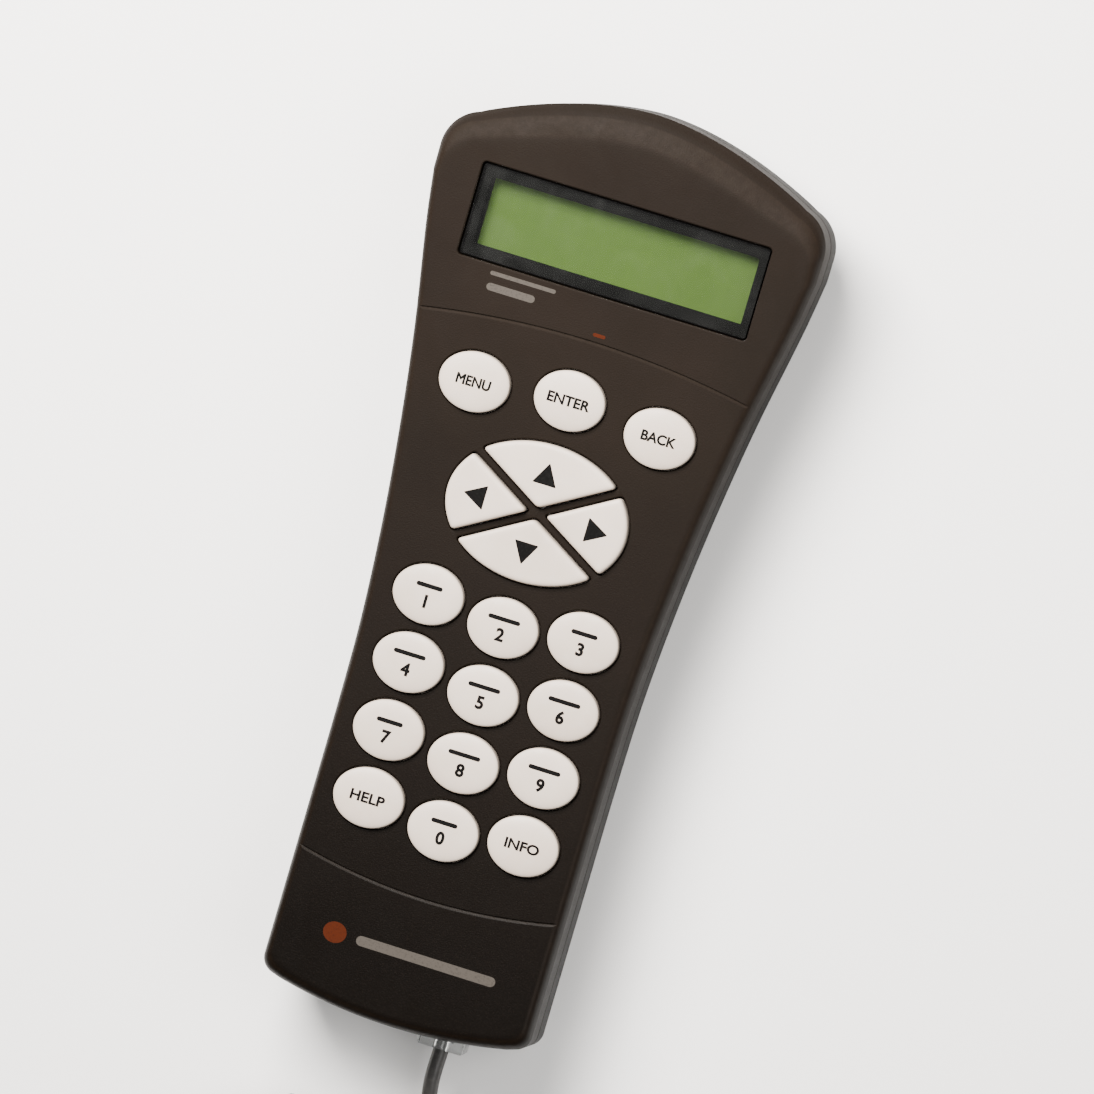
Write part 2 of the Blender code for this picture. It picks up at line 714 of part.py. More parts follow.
def make_cord():
    rear_y = JACK_FACE_Y - PLUG_OUT
    make_plug("plug_inner", CORD_JACK[0], rear_y, PLUG_Z)
    turns = [COIL_START - COIL_SWEEP * i / COIL_STEPS for i in range(COIL_STEPS + 1)]
    coil = [ring_point(turn, RING, COIL_Z) for turn in turns]
    make_tube("cord_coil", coil, COIL)

    start = (CORD_JACK[0], rear_y - GAP, PLUG_Z)
    entry = coil[0] - GAP * along_ring(turns[0])
    make_tube("cord_lead_inner", smooth_route([start, *INNER_LEAD, entry], 3), WIRE)

    leave = coil[-1] + GAP * along_ring(turns[-1])
    route = [leave, leave + 4.0 * along_ring(turns[-1])]
    route += [ring_point(*place) for place in OUTER_LEAD]
    x, y, z = OUTER_PLUG
    route += [(x + 0.5, y - GAP - 4.2, z - 0.5), (x, y - GAP, z)]
    make_tube("cord_lead_outer", smooth_route(route, 2), WIRE)
    make_plug("plug_outer", x, y, z)


for old in list(bpy.data.objects):
    bpy.data.objects.remove(old, do_unlink=True)
PARTS = new_collection("hand_controller", False)
CUTTERS = new_collection("cutters", True)
make_materials()
make_front_shell()
make_back_shell()
make_keys()
make_mat()
make_display()
make_main_board()
make_electronics()
make_screws()
make_jack("cord_jack", CORD_JACK)
make_jack("serial_jack", SERIAL_JACK)
make_label()
make_cord()
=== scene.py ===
"""Looks of the hand controller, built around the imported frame.

Shapes are made in millimetres and turned into metres by MM. The controller lies on its back:
+Z is out of its face and +Y is towards the display end. The cord lies past the other end.
The named sizes and the cord's route are the CAD's own.
"""

import math
from functools import partial

import bmesh
import bpy
from mathutils import Matrix, Vector


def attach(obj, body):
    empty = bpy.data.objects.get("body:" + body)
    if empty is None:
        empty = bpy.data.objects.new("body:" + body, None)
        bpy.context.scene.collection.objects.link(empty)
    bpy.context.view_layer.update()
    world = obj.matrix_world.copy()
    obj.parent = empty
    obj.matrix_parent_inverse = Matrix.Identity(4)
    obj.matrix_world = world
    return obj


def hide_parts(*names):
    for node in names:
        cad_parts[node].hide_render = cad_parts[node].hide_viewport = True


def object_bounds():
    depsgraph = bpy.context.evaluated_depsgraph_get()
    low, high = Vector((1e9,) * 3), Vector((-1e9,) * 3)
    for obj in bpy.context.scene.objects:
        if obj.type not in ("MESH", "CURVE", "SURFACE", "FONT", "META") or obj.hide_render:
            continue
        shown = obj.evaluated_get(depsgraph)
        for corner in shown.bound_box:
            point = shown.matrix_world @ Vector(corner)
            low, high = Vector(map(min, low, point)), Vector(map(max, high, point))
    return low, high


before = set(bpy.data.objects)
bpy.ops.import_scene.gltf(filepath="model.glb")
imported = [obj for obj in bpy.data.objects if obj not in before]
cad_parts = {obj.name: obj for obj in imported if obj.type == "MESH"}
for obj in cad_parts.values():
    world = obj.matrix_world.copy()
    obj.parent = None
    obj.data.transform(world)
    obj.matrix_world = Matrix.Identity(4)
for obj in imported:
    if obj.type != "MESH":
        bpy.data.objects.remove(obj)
CAD_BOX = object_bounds()

MM = 0.001
GAP = 0.3


# Case
END_Y = 93.4
BODY_HALF = 28.0
HEAD_HALF = 39.75
FACE_Z = 27.0
CEILING_Z = 24.5
PARTING_Z = 18.0
WALL = 2.2
TONGUE = 0.9
TONGUE_TOP_Z = 19.3
BOTTOM_RISE = 3.1
BOTTOM_CORNER = (24.6, -86.9, 3.4)
FLANK = [(28.0, -84.0), (28.0, -40.0), (28.3, -20.0), (29.6, 0.0)]
FLANK += [(31.7, 20.0), (34.5, 40.0), (38.1, 60.0), (39.7, 71.0)]
SHOULDER = (31.3, 75.9, 8.45)
DOME_DROP = 0.0165
DOME_POWER = 1.8
# The face's edge and the back's edge: how far in at the sides, more at one end, and the height.
FRONT_EDGE = [(0.0, 0.0, 24.0), (0.35, 1.2, 25.4), (0.9, 3.2, 26.4), (1.7, 5.0, 26.9), (2.6, 6.6, 27.0)]
BACK_EDGE = [(0.0, 0.0, 12.0), (1.3, 0.5, 8.0), (3.3, 1.2, 4.0)]
BACK_EDGE += [(5.9, 2.2, 1.3), (8.9, 3.8, 0.25), (10.5, 5.0, 0.0)]
FRONT_INNER = [(3.0, 4.6, 24.5), (2.4, 2.4, 23.6), (WALL, 0.0, TONGUE_TOP_Z + GAP)]
BACK_INNER = [(8.5, 3.9, 2.2), (5.6, 3.4, 4.4), (3.9, 3.0, 9.0), (3.4, 3.0, 13.0)]
# Half width, height of the ends and rise of each fine line across the face
GROOVES = [(34.6, 43.9, 3.3), (27.2, -64.0, -3.2)]
GROOVE = (0.8, 0.35)
RIM_ROUND = 0.28


# Display
DISPLAY_Y = 65.7
RECESS = (60.0, 19.0)
LEDGE_Z = 25.0
RIM = (65.0, 24.0)
RIM_Z = 23.5
OPENING = (57.5, 15.5)
WINDOW = (59.4, 18.4)
WINDOW_Z = (25.3, 26.3)
BORDER_OPENING = (55.6, 13.6)
BORDER_Z = (25.18, 25.26)


# Keys
KEY = (7.15, 5.9)
KEY_TOP_Z = 28.74
PRINT_THICK = 0.05
KEY_DROP = 0.95
KEY_POWER = 2.3
FLANGE = 0.6
FLANGE_Z = (20.9, 24.2)
PLUNGER = (2.4, 2.0)
PLUNGER_Z = 19.2
COLUMN = 16.1
ROW = 13.9
FIRST_ROW_Y = -9.4
MIDDLE_DROP = 1.9
TOP_KEYS = {"key_menu": (-19.2, 33.2), "key_enter": (0.0, 35.1), "key_back": (19.2, 33.2)}
NUMBER_KEYS = [
    ["key_1", "key_2", "key_3"],
    ["key_4", "key_5", "key_6"],
    ["key_7", "key_8", "key_9"],
    ["key_help", "key_0", "key_info"],
]
PAD = (18.5, 13.85)
PAD_Y = 12.1
PAD_BAR = 1.4
PAD_ANGLE = 30.5
PAD_CROWN = 0.35
PAD_EDGE = [(0.0, 0.75), (0.05, 0.5), (0.16, 0.29), (0.33, 0.14), (0.58, 0.045), (0.9, 0.0)]
PAD_CORNER = 0.95
PAD_KEYS = {"key_up": 0, "key_right": 1, "key_down": 2, "key_left": 3}


# Screws
CASE_SCREWS = {
    "case_screw_top_left": (-10.0, 83.4),
    "case_screw_top_right": (10.0, 83.4),
    "case_screw_bottom_left": (-19.0, -66.0),
    "case_screw_bottom_right": (19.0, -66.0),
}
DISPLAY_SCREWS = [(-28.0, 77.9), (28.0, 77.9), (-28.0, 52.0), (28.0, 52.0)]
KEYPAD_SCREWS = [(-8.05, -45.2), (8.05, -45.2)]
SCREW_HEAD = (2.4, 2.2, 1.9, 1.1, 23.2)
LABEL = (28.0, 46.0, -8.0)
LABEL_Z = (0.15, 0.4)


# Jacks: middle, opening width, body width
CORD_JACK = (9.0, 10.1, 13.2)
SERIAL_JACK = (-10.5, 8.1, 11.2)
JACK_Z = (4.9, 15.8)
JACK_FACE_Y = -91.0
JACK_DEPTH = 15.5
SOCKET_DEPTH = 12.5
SOCKET_Z = (6.2, 7.6, 14.4)
LATCH_SLOT = 3.3
BLADE_PITCH = 1.02
# A spring contact's places along the socket and up
CONTACT = [(1.6, 14.3), (2.2, 13.9), (4.5, 12.9), (7.5, 11.4)]
CONTACT += [(9.8, 10.5), (10.4, 10.6), (11.0, 11.2), (12.4, 12.4)]


# Cord
WIRE = 3.2
COIL = 12.4
RING = 31.0
RING_CENTRE = (-8.0, -150.0)
COIL_START = 25.0
COIL_SWEEP = 300.0
COIL_Z = 6.4
COIL_TURNS = 40
COIL_RAMP = 9.0
TURN_STEPS = 16
PLUG_WIDTH = 9.5
PLUG_LATCH = 1.6
PLUG_LENGTH = 17.0
PLUG_OUT = 5.0
PLUG_Z = 10.95
PLUG_DOWN = (4.45, 3.05)
PLUG_UP = 3.15
# A plug's body: how far along, drawn in at the sides and drawn down at the top
PLUG_BODY = [(0.0, 0.35, 0.35), (0.35, 0.08, 0.08), (0.7, 0.0, 0.0), (9.2, 0.0, 0.0)]
PLUG_BODY += [(9.8, 0.0, 0.25), (16.3, 0.0, 0.25), (16.75, 0.1, 0.35), (17.0, 0.35, 0.6)]
INNER_LEAD = [(9.0, -104.0, 10.4), (10.6, -113.0, 8.0), (15.0, -127.8, 3.6)]
OUTER_LEAD = [
    (66.0, 29.2, 1.8),
    (49.0, 24.5, 1.8),
    (26.0, 19.0, 1.8),
    (-5.0, 16.0, 1.8),
    (-35.0, 14.7, 1.8),
    (-65.0, 14.0, 1.8),
    (-92.0, 13.4, 1.9),
    (-115.0, 13.2, 2.6),
]
OUTER_PLUG = (-16.0, -154.5, 4.65)


# View
CAMERA_YAW = 10.0
CAMERA_TILT = -5.0
CAMERA_ROLL = 16.4
CAMERA_DISTANCE = 2.6
FRAME_HEIGHT = 0.215
AIM = (0.0014, 0.0052, 0.0135)
FLOOR_HALF = 2500.0
FLOOR_GAP = 0.00005
# Each light's place, what it points at, its size, its power and its colour
LIGHTS = {
    "key_light": ((-0.2, 0.34, 0.5), (0.0, 0.08, 0.0), (0.4, 0.35), 23.0, (1.0, 0.96, 0.92)),
    "fill_light": ((0.75, 0.1, 1.0), (0.0, 0.0, 0.0), (0.8, 0.8), 14.0, (1.0, 0.98, 0.96)),
}


# Camera, floor and lights


def make_camera():
    data = bpy.data.cameras.new("camera")
    camera = bpy.data.objects.new("camera", data)
    bpy.context.scene.collection.objects.link(camera)
    bpy.context.scene.camera = camera
    yaw = math.radians(CAMERA_YAW)
    tilt = math.radians(CAMERA_TILT)
    back = Vector((math.sin(yaw) * math.cos(tilt), -math.sin(tilt), math.cos(yaw) * math.cos(tilt)))
    right = Vector((0.0, 1.0, 0.0)).cross(back).normalized()
    up = back.cross(right)
    turn = Matrix((right, up, back)).transposed() @ Matrix.Rotation(math.radians(CAMERA_ROLL), 3, "Z")
    camera.matrix_world = Matrix.Translation(Vector(AIM) + back * CAMERA_DISTANCE) @ turn.to_4x4()
    data.sensor_width = 36.0
    data.lens = 36.0 * CAMERA_DISTANCE / FRAME_HEIGHT
    data.clip_start = 0.05
    data.clip_end = 50.0


def add_light(name, place, aim, size, power, colour=(1.0, 1.0, 1.0)):
    data = bpy.data.lights.new(name, "AREA")
    data.shape = "RECTANGLE"
    data.size = size[0]
    data.size_y = size[1]
    data.energy = power
    data.color = colour
    light = bpy.data.objects.new(name, data)
    bpy.context.scene.collection.objects.link(light)
    light.location = place
    light.rotation_mode = "QUATERNION"
    light.rotation_quaternion = (Vector(aim) - Vector(place)).to_track_quat("-Z", "Y")


def make_stage():
    work = bmesh.new()
    bmesh.ops.create_grid(work, x_segments=2, y_segments=2, size=FLOOR_HALF)
    floor = to_object(work, "floor")
    floor.location.z = CAD_BOX[0][2] - FLOOR_GAP
    floor.data.materials.append(floor_material())
    world = bpy.data.worlds.new("studio")
    world.use_nodes = True
    background = world.node_tree.nodes["Background"].inputs
    background["Color"].default_value = (1.0, 0.99, 0.975, 1.0)
    background["Strength"].default_value = 0.36
    bpy.context.scene.world = world
    for name, light in LIGHTS.items():
        add_light(name, *light)


# Materials


class Finish:
    """One material's nodes, with a short call for each kind. Places are in the piece's own metres."""

    def __init__(self, name, **constants):
        self.material = bpy.data.materials.new(name)
        self.material.use_nodes = True
        self.tree = self.material.node_tree
        self.shader = self.tree.nodes["Principled BSDF"]
        for key, value in constants.items():
            self.shader.inputs[key.replace("_", " ").title().replace("Ior", "IOR")].default_value = value
        self.place = self.add("ShaderNodeTexCoord").outputs["Object"]

    def add(self, kind, inputs=(), **settings):
        node = self.tree.nodes.new(kind)
        for key, value in settings.items():
            setattr(node, key, value)
        for key, value in dict(inputs).items():
            self.put(node.inputs[key], value)
        return node

    def put(self, socket, value):
        if isinstance(value, bpy.types.NodeSocket):
            self.tree.links.new(value, socket)
        else:
            socket.default_value = value

    def drive(self, key, value):
        self.put(self.shader.inputs[key], value)

    def stretched(self, scale, turn=(0.0, 0.0, 0.0)):
        inputs = {"Vector": self.place, "Scale": scale, "Rotation": turn}
        return self.add("ShaderNodeMapping", inputs).outputs["Vector"]

    def noise(self, scale, detail=2.0, roughness=0.5, distortion=0.0, place=None):
        inputs = {
            "Vector": place or self.place,
            "Scale": scale,
            "Detail": detail,
            "Roughness": roughness,
            "Distortion": distortion,
        }
        return self.add("ShaderNodeTexNoise", inputs).outputs[0]

    def cells(self, scale, feature="F1", place=None):
        inputs = {"Vector": place or self.place, "Scale": scale}
        return self.add("ShaderNodeTexVoronoi", inputs, feature=feature).outputs["Distance"]

    def span(self, value, low, high, new_low=0.0, new_high=1.0):
        inputs = {
            "Value": value,
            "From Min": low,
            "From Max": high,
            "To Min": new_low,
            "To Max": new_high,
        }
        return self.add("ShaderNodeMapRange", inputs).outputs["Result"]

    def math(self, operation, a, b=0.0):
        return self.add("ShaderNodeMath", {0: a, 1: b}, operation=operation).outputs["Value"]

    def mix(self, share, a, b):
        return self.add("ShaderNodeMix", {0: share, 6: a, 7: b}, data_type="RGBA").outputs[2]

    def axis(self, letter):
        return self.add("ShaderNodeSeparateXYZ", {"Vector": self.place}).outputs[letter]

    def band(self, low, high, fade):
        """1 between two heights and 0 beyond them, with soft ends."""
        z = self.axis("Z")
        return self.math("MULTIPLY", self.span(z, low - fade, low), self.span(z, high + fade, high))

    def times(self, a, b):
        return self.math("MULTIPLY", a, b)

    def between(self, value, a, b):
        """A colour that goes from a to b over the middle of a noise."""
        return self.mix(self.span(value, 0.3, 0.7), a, b)

    def vary(self, value, low, high):
        """A number that goes from low to high over the middle of a noise."""
        return self.span(value, 0.3, 0.7, low, high)

    def finish(self, colour, rough, height, depth, strength):
        """Drives the shader's colour, roughness and bump, and returns the material."""
        bump = {"Height": height, "Distance": depth, "Strength": strength}
        self.drive("Base Color", colour)
        self.drive("Roughness", rough)
        self.drive("Normal", self.add("ShaderNodeBump", bump).outputs["Normal"])
        return self.material


def grey(value, warmth=0.0):
    return (value * (1 + warmth), value, value * (1 - warmth), 1.0)


def scaled(colour, ratio):
    return tuple(ratio * part for part in colour[:3]) + (1.0,)


def floor_material():
    f = Finish("pale_floor", roughness=0.75)
    broad = f.noise(3.0)
    f.drive("Base Color", f.mix(broad, (0.86, 0.855, 0.845, 1.0), (0.9, 0.895, 0.885, 1.0)))
    f.drive("Roughness", f.vary(broad, 0.7, 0.8))
    return f.material


def case_material(name, dark, light, gloss):
    """Spark-textured plastic: a fine grain, faint smears, edges lightened partly as wear and partly as a
    painted highlight, and painted shade that darkens the lower end.
    """
    f = Finish(name, roughness=gloss, specular_ior_level=0.065)
    grain = f.noise(5200.0, 2.0, 0.55)
    # Painted shade: a mask that grows towards the lower end; it darkens the colour there and also makes that
    # end smoother.
    painted_shade_low_end = f.span(f.axis("Y"), 0.03, -0.08)
    # Bands on the face's rounded edge and at the parting line, lightened partly as wear and partly as a
    # painted highlight.
    edge = f.math("MAXIMUM", f.band(0.0259, 0.02685, 0.00012), f.band(0.0174, 0.0182, 0.0002))
    worn = f.times(edge, f.span(f.noise(700.0, 4.0, 0.65), 0.35, 0.65, 0.3, 0.7))
    colour = f.between(f.noise(34.0, 4.0, 0.55, 0.4), dark, light)
    # Painted shade: the lower end is darkened towards a deep brown.
    colour = f.mix(f.times(painted_shade_low_end, 0.8), colour, scaled(dark, 0.15))
    colour = f.mix(f.times(f.span(grain, 0.55, 0.8), 0.35), colour, scaled(light, 2.1))
    # Lightened edges: partly wear and partly a painted highlight.
    colour = f.mix(f.times(worn, 0.4), colour, scaled(light, 2.2))
    smear = f.span(f.noise(90.0, 3.0, 0.6, 1.2), 0.35, 0.7, gloss - 0.02, gloss + 0.03)
    rough = f.math("ADD", smear, f.vary(grain, -0.03, 0.04))
    polished = f.math("ADD", f.times(worn, 0.08), f.times(painted_shade_low_end, 0.2))
    rough = f.math("SUBTRACT", rough, polished)
    height = f.math("ADD", grain, f.times(f.cells(4200.0, "SMOOTH_F1"), 0.8))
    return f.finish(colour, rough, height, 0.00005, 0.6)


def key_material():
    """Warm white rubber with a satin coat, darker in mottled patches low on its sides, and faint finger
    marks.
    """
    f = Finish("key_rubber", roughness=0.5)
    mottle = f.noise(420.0, 4.0, 0.6)
    colour = f.between(f.noise(60.0), (0.45, 0.375, 0.31, 1.0), (0.52, 0.44, 0.37, 1.0))
    colour = f.mix(f.times(f.span(mottle, 0.5, 0.75), 0.3), colour, (0.5, 0.455, 0.41, 1.0))
    # Darker below the top's crown, in mottled patches, down the key's sides.
    low = f.times(f.span(f.axis("Z"), 0.0282, 0.0272), f.span(mottle, 0.3, 0.6, 0.45, 0.9))
    colour = f.mix(low, colour, (0.2, 0.175, 0.15, 1.0))
    marks = f.vary(f.noise(240.0, 3.0, 0.6, 0.8), 0.42, 0.58)
    return f.finish(colour, marks, f.noise(5200.0), 0.00003, 0.5)


def ink_material(name, colour, faded, rough=0.7):
    """Printed ink, thinner here and there."""
    f = Finish(name, roughness=rough, specular_ior_level=0.05)
    worn = f.span(f.noise(2600.0, 3.0, 0.7), 0.5, 0.75, 0.0, 0.6)
    sheen = f.vary(f.noise(1500.0), rough - 0.08, rough + 0.08)
    return f.finish(f.mix(worn, colour, faded), sheen, f.noise(6000.0), 0.00002, 0.4)


def window_material():
    """A thin clear pane: what is behind it shows, and its two faces mirror a little."""
    f = Finish("clear_window")
    nodes = f.tree.nodes
    nodes.remove(f.shader)
    clear = f.add("ShaderNodeBsdfTransparent", {"Color": (0.96, 0.97, 0.955, 1.0)})
    smear = f.span(f.noise(140.0, 3.0, 0.6, 1.0), 0.4, 0.7, 0.14, 0.22)
    mirror = f.add("ShaderNodeBsdfAnisotropic", {"Color": (1.0, 1.0, 1.0, 1.0), "Roughness": smear})
    share = f.add("ShaderNodeFresnel", {"IOR": 1.32}).outputs[0]
    both = f.add("ShaderNodeMixShader", {0: share, 1: clear.outputs[0], 2: mirror.outputs[0]})
    f.tree.links.new(both.outputs[0], nodes["Material Output"].inputs["Surface"])
    return f.material


def lcd_material():
    """A blank reflective display: yellow-green, with its character cells just visible, and a faint painted
    glow in its own colour.
    """
    f = Finish("lcd_green", roughness=0.45, specular_ior_level=0.15)
    # Painted light: the display glows faintly in its own colour, though no lamp lights it.
    f.shader.inputs["Emission Strength"].default_value = 0.1
    x = f.math("DIVIDE", f.axis("X"), 0.0032)
    y = f.math("DIVIDE", f.math("SUBTRACT", f.axis("Y"), DISPLAY_Y * MM), 0.0055)
    dot = 1.0
    # Half the number of cells, the shift to whole cells, a cell's share of its pitch, and dots to a cell
    for place, half, shift, share, dots in ((x, 8.0, 8.0, 0.86, 5.8), (y, 1.0, 4.0, 0.88, 9.1)):
        shifted = f.math("ADD", place, shift)
        dot = f.times(dot, f.math("LESS_THAN", f.math("ABSOLUTE", place), half))
        dot = f.times(dot, f.math("LESS_THAN", f.math("FRACT", shifted), share))
        dot = f.times(dot, f.math("LESS_THAN", f.math("FRACT", f.times(shifted, dots)), 0.84))
    colour = f.between(f.noise(24.0), (0.027, 0.055, 0.0045, 1.0), (0.034, 0.067, 0.0065, 1.0))
    colour = f.mix(f.times(dot, 0.16), colour, (0.023, 0.046, 0.0065, 1.0))
    f.drive("Base Color", colour)
    f.drive("Emission Color", colour)
    f.drive("Roughness", f.vary(f.noise(900.0), 0.4, 0.5))
    return f.material


def metal_material(name, colour, rough):
    """Plated or turned metal with fine lines and light tarnish."""
    f = Finish(name, roughness=rough, metallic=1.0)
    lines = f.noise(1500.0, 3.0, 0.6, 0.0, f.stretched((1.0, 9.0, 1.0)))
    tarnish = f.span(f.noise(320.0, 4.0, 0.6), 0.45, 0.75)
    colour = f.mix(f.times(tarnish, 0.6), colour, scaled(colour, 0.45))
    return f.finish(colour, f.vary(lines, rough - 0.08, rough + 0.1), lines, 0.00002, 0.4)


def board_material():
    """Green solder mask over tracks, with tinned pads."""
    f = Finish("circuit_board", roughness=0.35)
    tracks = f.cells(240.0, "DISTANCE_TO_EDGE", f.stretched((1.0, 0.6, 1.0)))
    copper = f.span(tracks, 0.03, 0.05, 1.0, 0.0)
    pad = f.span(f.cells(330.0), 0.1, 0.14, 1.0, 0.0)
    weave = f.noise(2400.0)
    colour = f.between(weave, (0.008, 0.075, 0.03, 1.0), (0.012, 0.1, 0.042, 1.0))
    colour = f.mix(f.times(copper, 0.7), colour, (0.03, 0.2, 0.06, 1.0))
    colour = f.mix(pad, colour, (0.55, 0.53, 0.47, 1.0))
    return f.finish(colour, f.vary(weave, 0.28, 0.42), f.math("ADD", copper, pad), 0.00004, 0.5)


def soft_material(name, dark, light, rough, scale, depth, shine=0.5):
    """Rubber mat, paint or moulded plastic: a grained surface of two close colours."""
    f = Finish(name, roughness=rough, specular_ior_level=shine)
    grain = f.noise(scale, 3.0, 0.6)
    colour = f.between(f.noise(90.0, 3.0), dark, light)
    colour = f.mix(f.times(f.span(grain, 0.5, 0.75), 0.4), colour, scaled(dark, 0.6))
    return f.finish(colour, f.vary(grain, rough - 0.07, rough + 0.07), grain, depth, 0.7)


def foam_material():
    """Black foam with open pores."""
    f = Finish("gasket_foam", roughness=0.9)
    pores = f.cells(2400.0)
    colour = f.mix(f.span(pores, 0.1, 0.5), (0.006, 0.006, 0.006, 1.0), (0.03, 0.029, 0.028, 1.0))
    return f.finish(colour, f.span(pores, 0.1, 0.5, 0.95, 0.82), pores, 0.00015, 0.8)


def cord_material():
    """Black cord jacket: satin, with fine dust and faint rubs."""
    f = Finish("cord_jacket", roughness=0.42)
    dust = f.span(f.noise(900.0, 4.0, 0.65), 0.5, 0.8)
    rubs = f.noise(260.0, 3.0, 0.6, 0.8)
    colour = f.between(rubs, (0.011, 0.0105, 0.01, 1.0), (0.02, 0.019, 0.018, 1.0))
    colour = f.mix(f.times(dust, 0.35), colour, (0.075, 0.07, 0.063, 1.0))
    rough = f.math("ADD", f.vary(rubs, 0.34, 0.5), f.times(dust, 0.12))
    return f.finish(colour, rough, f.noise(2600.0, 3.0), 0.00005, 0.5)


def plug_material():
    """Clear moulded plastic, faintly smoky, with flow marks."""
    f = Finish("clear_plug", roughness=0.1, ior=1.58, transmission_weight=0.92)
    flow = f.noise(180.0, 3.0, 0.6, 1.5)
    colour = f.between(flow, (0.82, 0.84, 0.84, 1.0), (0.9, 0.915, 0.91, 1.0))
    return f.finish(colour, f.vary(flow, 0.05, 0.16), flow, 0.00004, 0.25)


def label_material():
    """Silver-grey polyester label, brushed along its length."""
    f = Finish("label_foil", roughness=0.38, metallic=0.55)
    brushed = f.noise(900.0, 3.0, 0.6, 0.0, f.stretched((1.0, 0.03, 1.0)))
    colour = f.between(brushed, (0.42, 0.42, 0.41, 1.0), (0.56, 0.56, 0.545, 1.0))
    return f.finish(colour, f.vary(brushed, 0.3, 0.46), brushed, 0.00002, 0.3)


# Shapes, made in a bmesh in millimetres


def at_height(outline, z):
    return [(x, y, z) for x, y in outline]


def add_rings(work, rings, low_cap=False, high_cap=False):
    """Rings of (x, y, z), all of one length, joined in turn. Returns their vertices."""
    levels = [[work.verts.new(point) for point in ring] for ring in rings]
    count = len(levels[0])
    for low, high in zip(levels, levels[1:]):
        for i in range(count):
            j = (i + 1) % count
            work.faces.new((low[i], low[j], high[j], high[i]))
    if low_cap:
        work.faces.new(levels[0])
    if high_cap:
        work.faces.new(levels[-1])
    return levels


def add_fan(work, ring, point):
    tip = work.verts.new(point)
    for a, b in zip(ring, ring[1:] + ring[:1]):
        work.faces.new((a, b, tip))


def add_sheet(work, loops):
    """A flat sheet of triangles inside the first loop and outside the others."""
    edges = []
    for ring in loops:
        edges += [work.edges.get(pair) for pair in zip(ring, ring[1:] + ring[:1])]
    bmesh.ops.triangle_fill(work, use_beauty=True, edges=edges, normal=(0.0, 0.0, 1.0))


def add_box(work, low, high, bevel=0.0):
    size = Vector(high) - Vector(low)
    middle = (Vector(high) + Vector(low)) / 2
    place = Matrix.Translation(middle) @ Matrix.Diagonal(size.to_4d())
    made = bmesh.ops.create_cube(work, size=1.0, matrix=place)
    if bevel:
        edges = {edge for vert in made["verts"] for edge in vert.link_edges}
        bmesh.ops.bevel(work, geom=list(edges), offset=bevel, segments=3, profile=0.5, affect="EDGES")


def add_post(work, x, y, z0, z1, radius, sides=32):
    ring = ellipse((radius, radius), x, y, sides)
    add_rings(work, [at_height(ring, z0), at_height(ring, z1)], True, True)


def add_turned(work, x, y, profile, sides=32):
    """A shape turned round an upright axis. Its profile is radius and height, from axis to axis."""
    rings = [at_height(ellipse((radius, radius), x, y, sides), z) for radius, z in profile[1:-1]]
    levels = add_rings(work, rings)
    add_fan(work, levels[0], (x, y, profile[0][1]))
    add_fan(work, levels[-1], (x, y, profile[-1][1]))


def add_wire(work, route, thick):
    """A wire of square section along a route that stays in one plane of constant X."""
    half = thick / 2
    rings = []
    for i, (x, y, z) in enumerate(route):
        before = Vector(route[max(i - 1, 0)])
        after = Vector(route[min(i + 1, len(route) - 1)])
        way = (after - before).normalized()
        side = Vector((0.0, -way.z, way.y)) * half
        centre = Vector((x, y, z))
        across = Vector((half, 0.0, 0.0))
        rings.append([tuple(centre + a * across + b * side) for a, b in ((-1, -1), (1, -1), (1, 1), (-1, 1))])
    add_rings(work, rings, True, True)


def to_object(work, name):
    """Turns the bmesh into an object in metres, with its faces out."""
    bmesh.ops.recalc_face_normals(work, faces=work.faces)
    bmesh.ops.scale(work, vec=(MM, MM, MM), verts=work.verts)
    mesh = bpy.data.meshes.new(name)
    work.to_mesh(mesh)
    work.free()
    obj = bpy.data.objects.new(name, mesh)
    bpy.context.scene.collection.objects.link(obj)
    return obj


def cut(target, steps):
    """Applies a Boolean for each other shape and operation, in turn."""
    for other, operation in steps:
        modifier = target.modifiers.new("cut", "BOOLEAN")
        modifier.operation = operation
        modifier.solver = "EXACT"
        modifier.object = other
    graph = bpy.context.evaluated_depsgraph_get()
    mesh = bpy.data.meshes.new_from_object(target.evaluated_get(graph))
    target.modifiers.clear()
    target.data = mesh
    for other, _ in steps:
        bpy.data.objects.remove(other, do_unlink=True)


def dress(obj, body, material, sharp=35.0, flat=False):
    """Smooths a finished piece, gives it its material and puts it on its body."""
    mesh = obj.data
    mesh.polygons.foreach_set("use_smooth", [True] * len(mesh.polygons))
    mesh.set_sharp_from_angle(angle=math.radians(sharp))
    mesh.materials.clear()
    mesh.materials.append(material)
    if flat:
        normals = obj.modifiers.new("normals", "WEIGHTED_NORMAL")
        normals.keep_sharp = True
        normals.weight = 90
    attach(obj, body)
    return obj


# Outlines


def both_sides(right):
    return list(right) + [(-x, y) for x, y in reversed(right)]


def arc(centre_x, centre_y, radius, start, stop, steps):
    turns = [math.radians(start + (stop - start) * i / steps) for i in range(steps + 1)]
    return [(centre_x + radius * math.cos(t), centre_y + radius * math.sin(t)) for t in turns]


def ellipse(size, x, y, sides=60):
    turns = [2 * math.pi * i / sides for i in range(sides)]
    return [(x + size[0] * math.cos(t), y + size[1] * math.sin(t)) for t in turns]


def rounded_box(size, radius, x=0.0, y=0.0, steps=5):
    """A rectangle with round corners, anticlockwise from the lower right."""
    w = size[0] / 2 - radius
    h = size[1] / 2 - radius
    outline = []
    for start, (a, b) in zip((-90.0, 0.0, 90.0, 180.0), ((w, -h), (w, h), (-w, h), (-w, -h))):
        outline += arc(x + a, y + b, radius, start, start + 90.0, steps)
    return outline


def resized(outline, ratio):
    x0 = sum(x for x, _ in outline) / len(outline)
    y0 = sum(y for _, y in outline) / len(outline)
    return [(x0 + (x - x0) * ratio, y0 + (y - y0) * ratio) for x, y in outline]


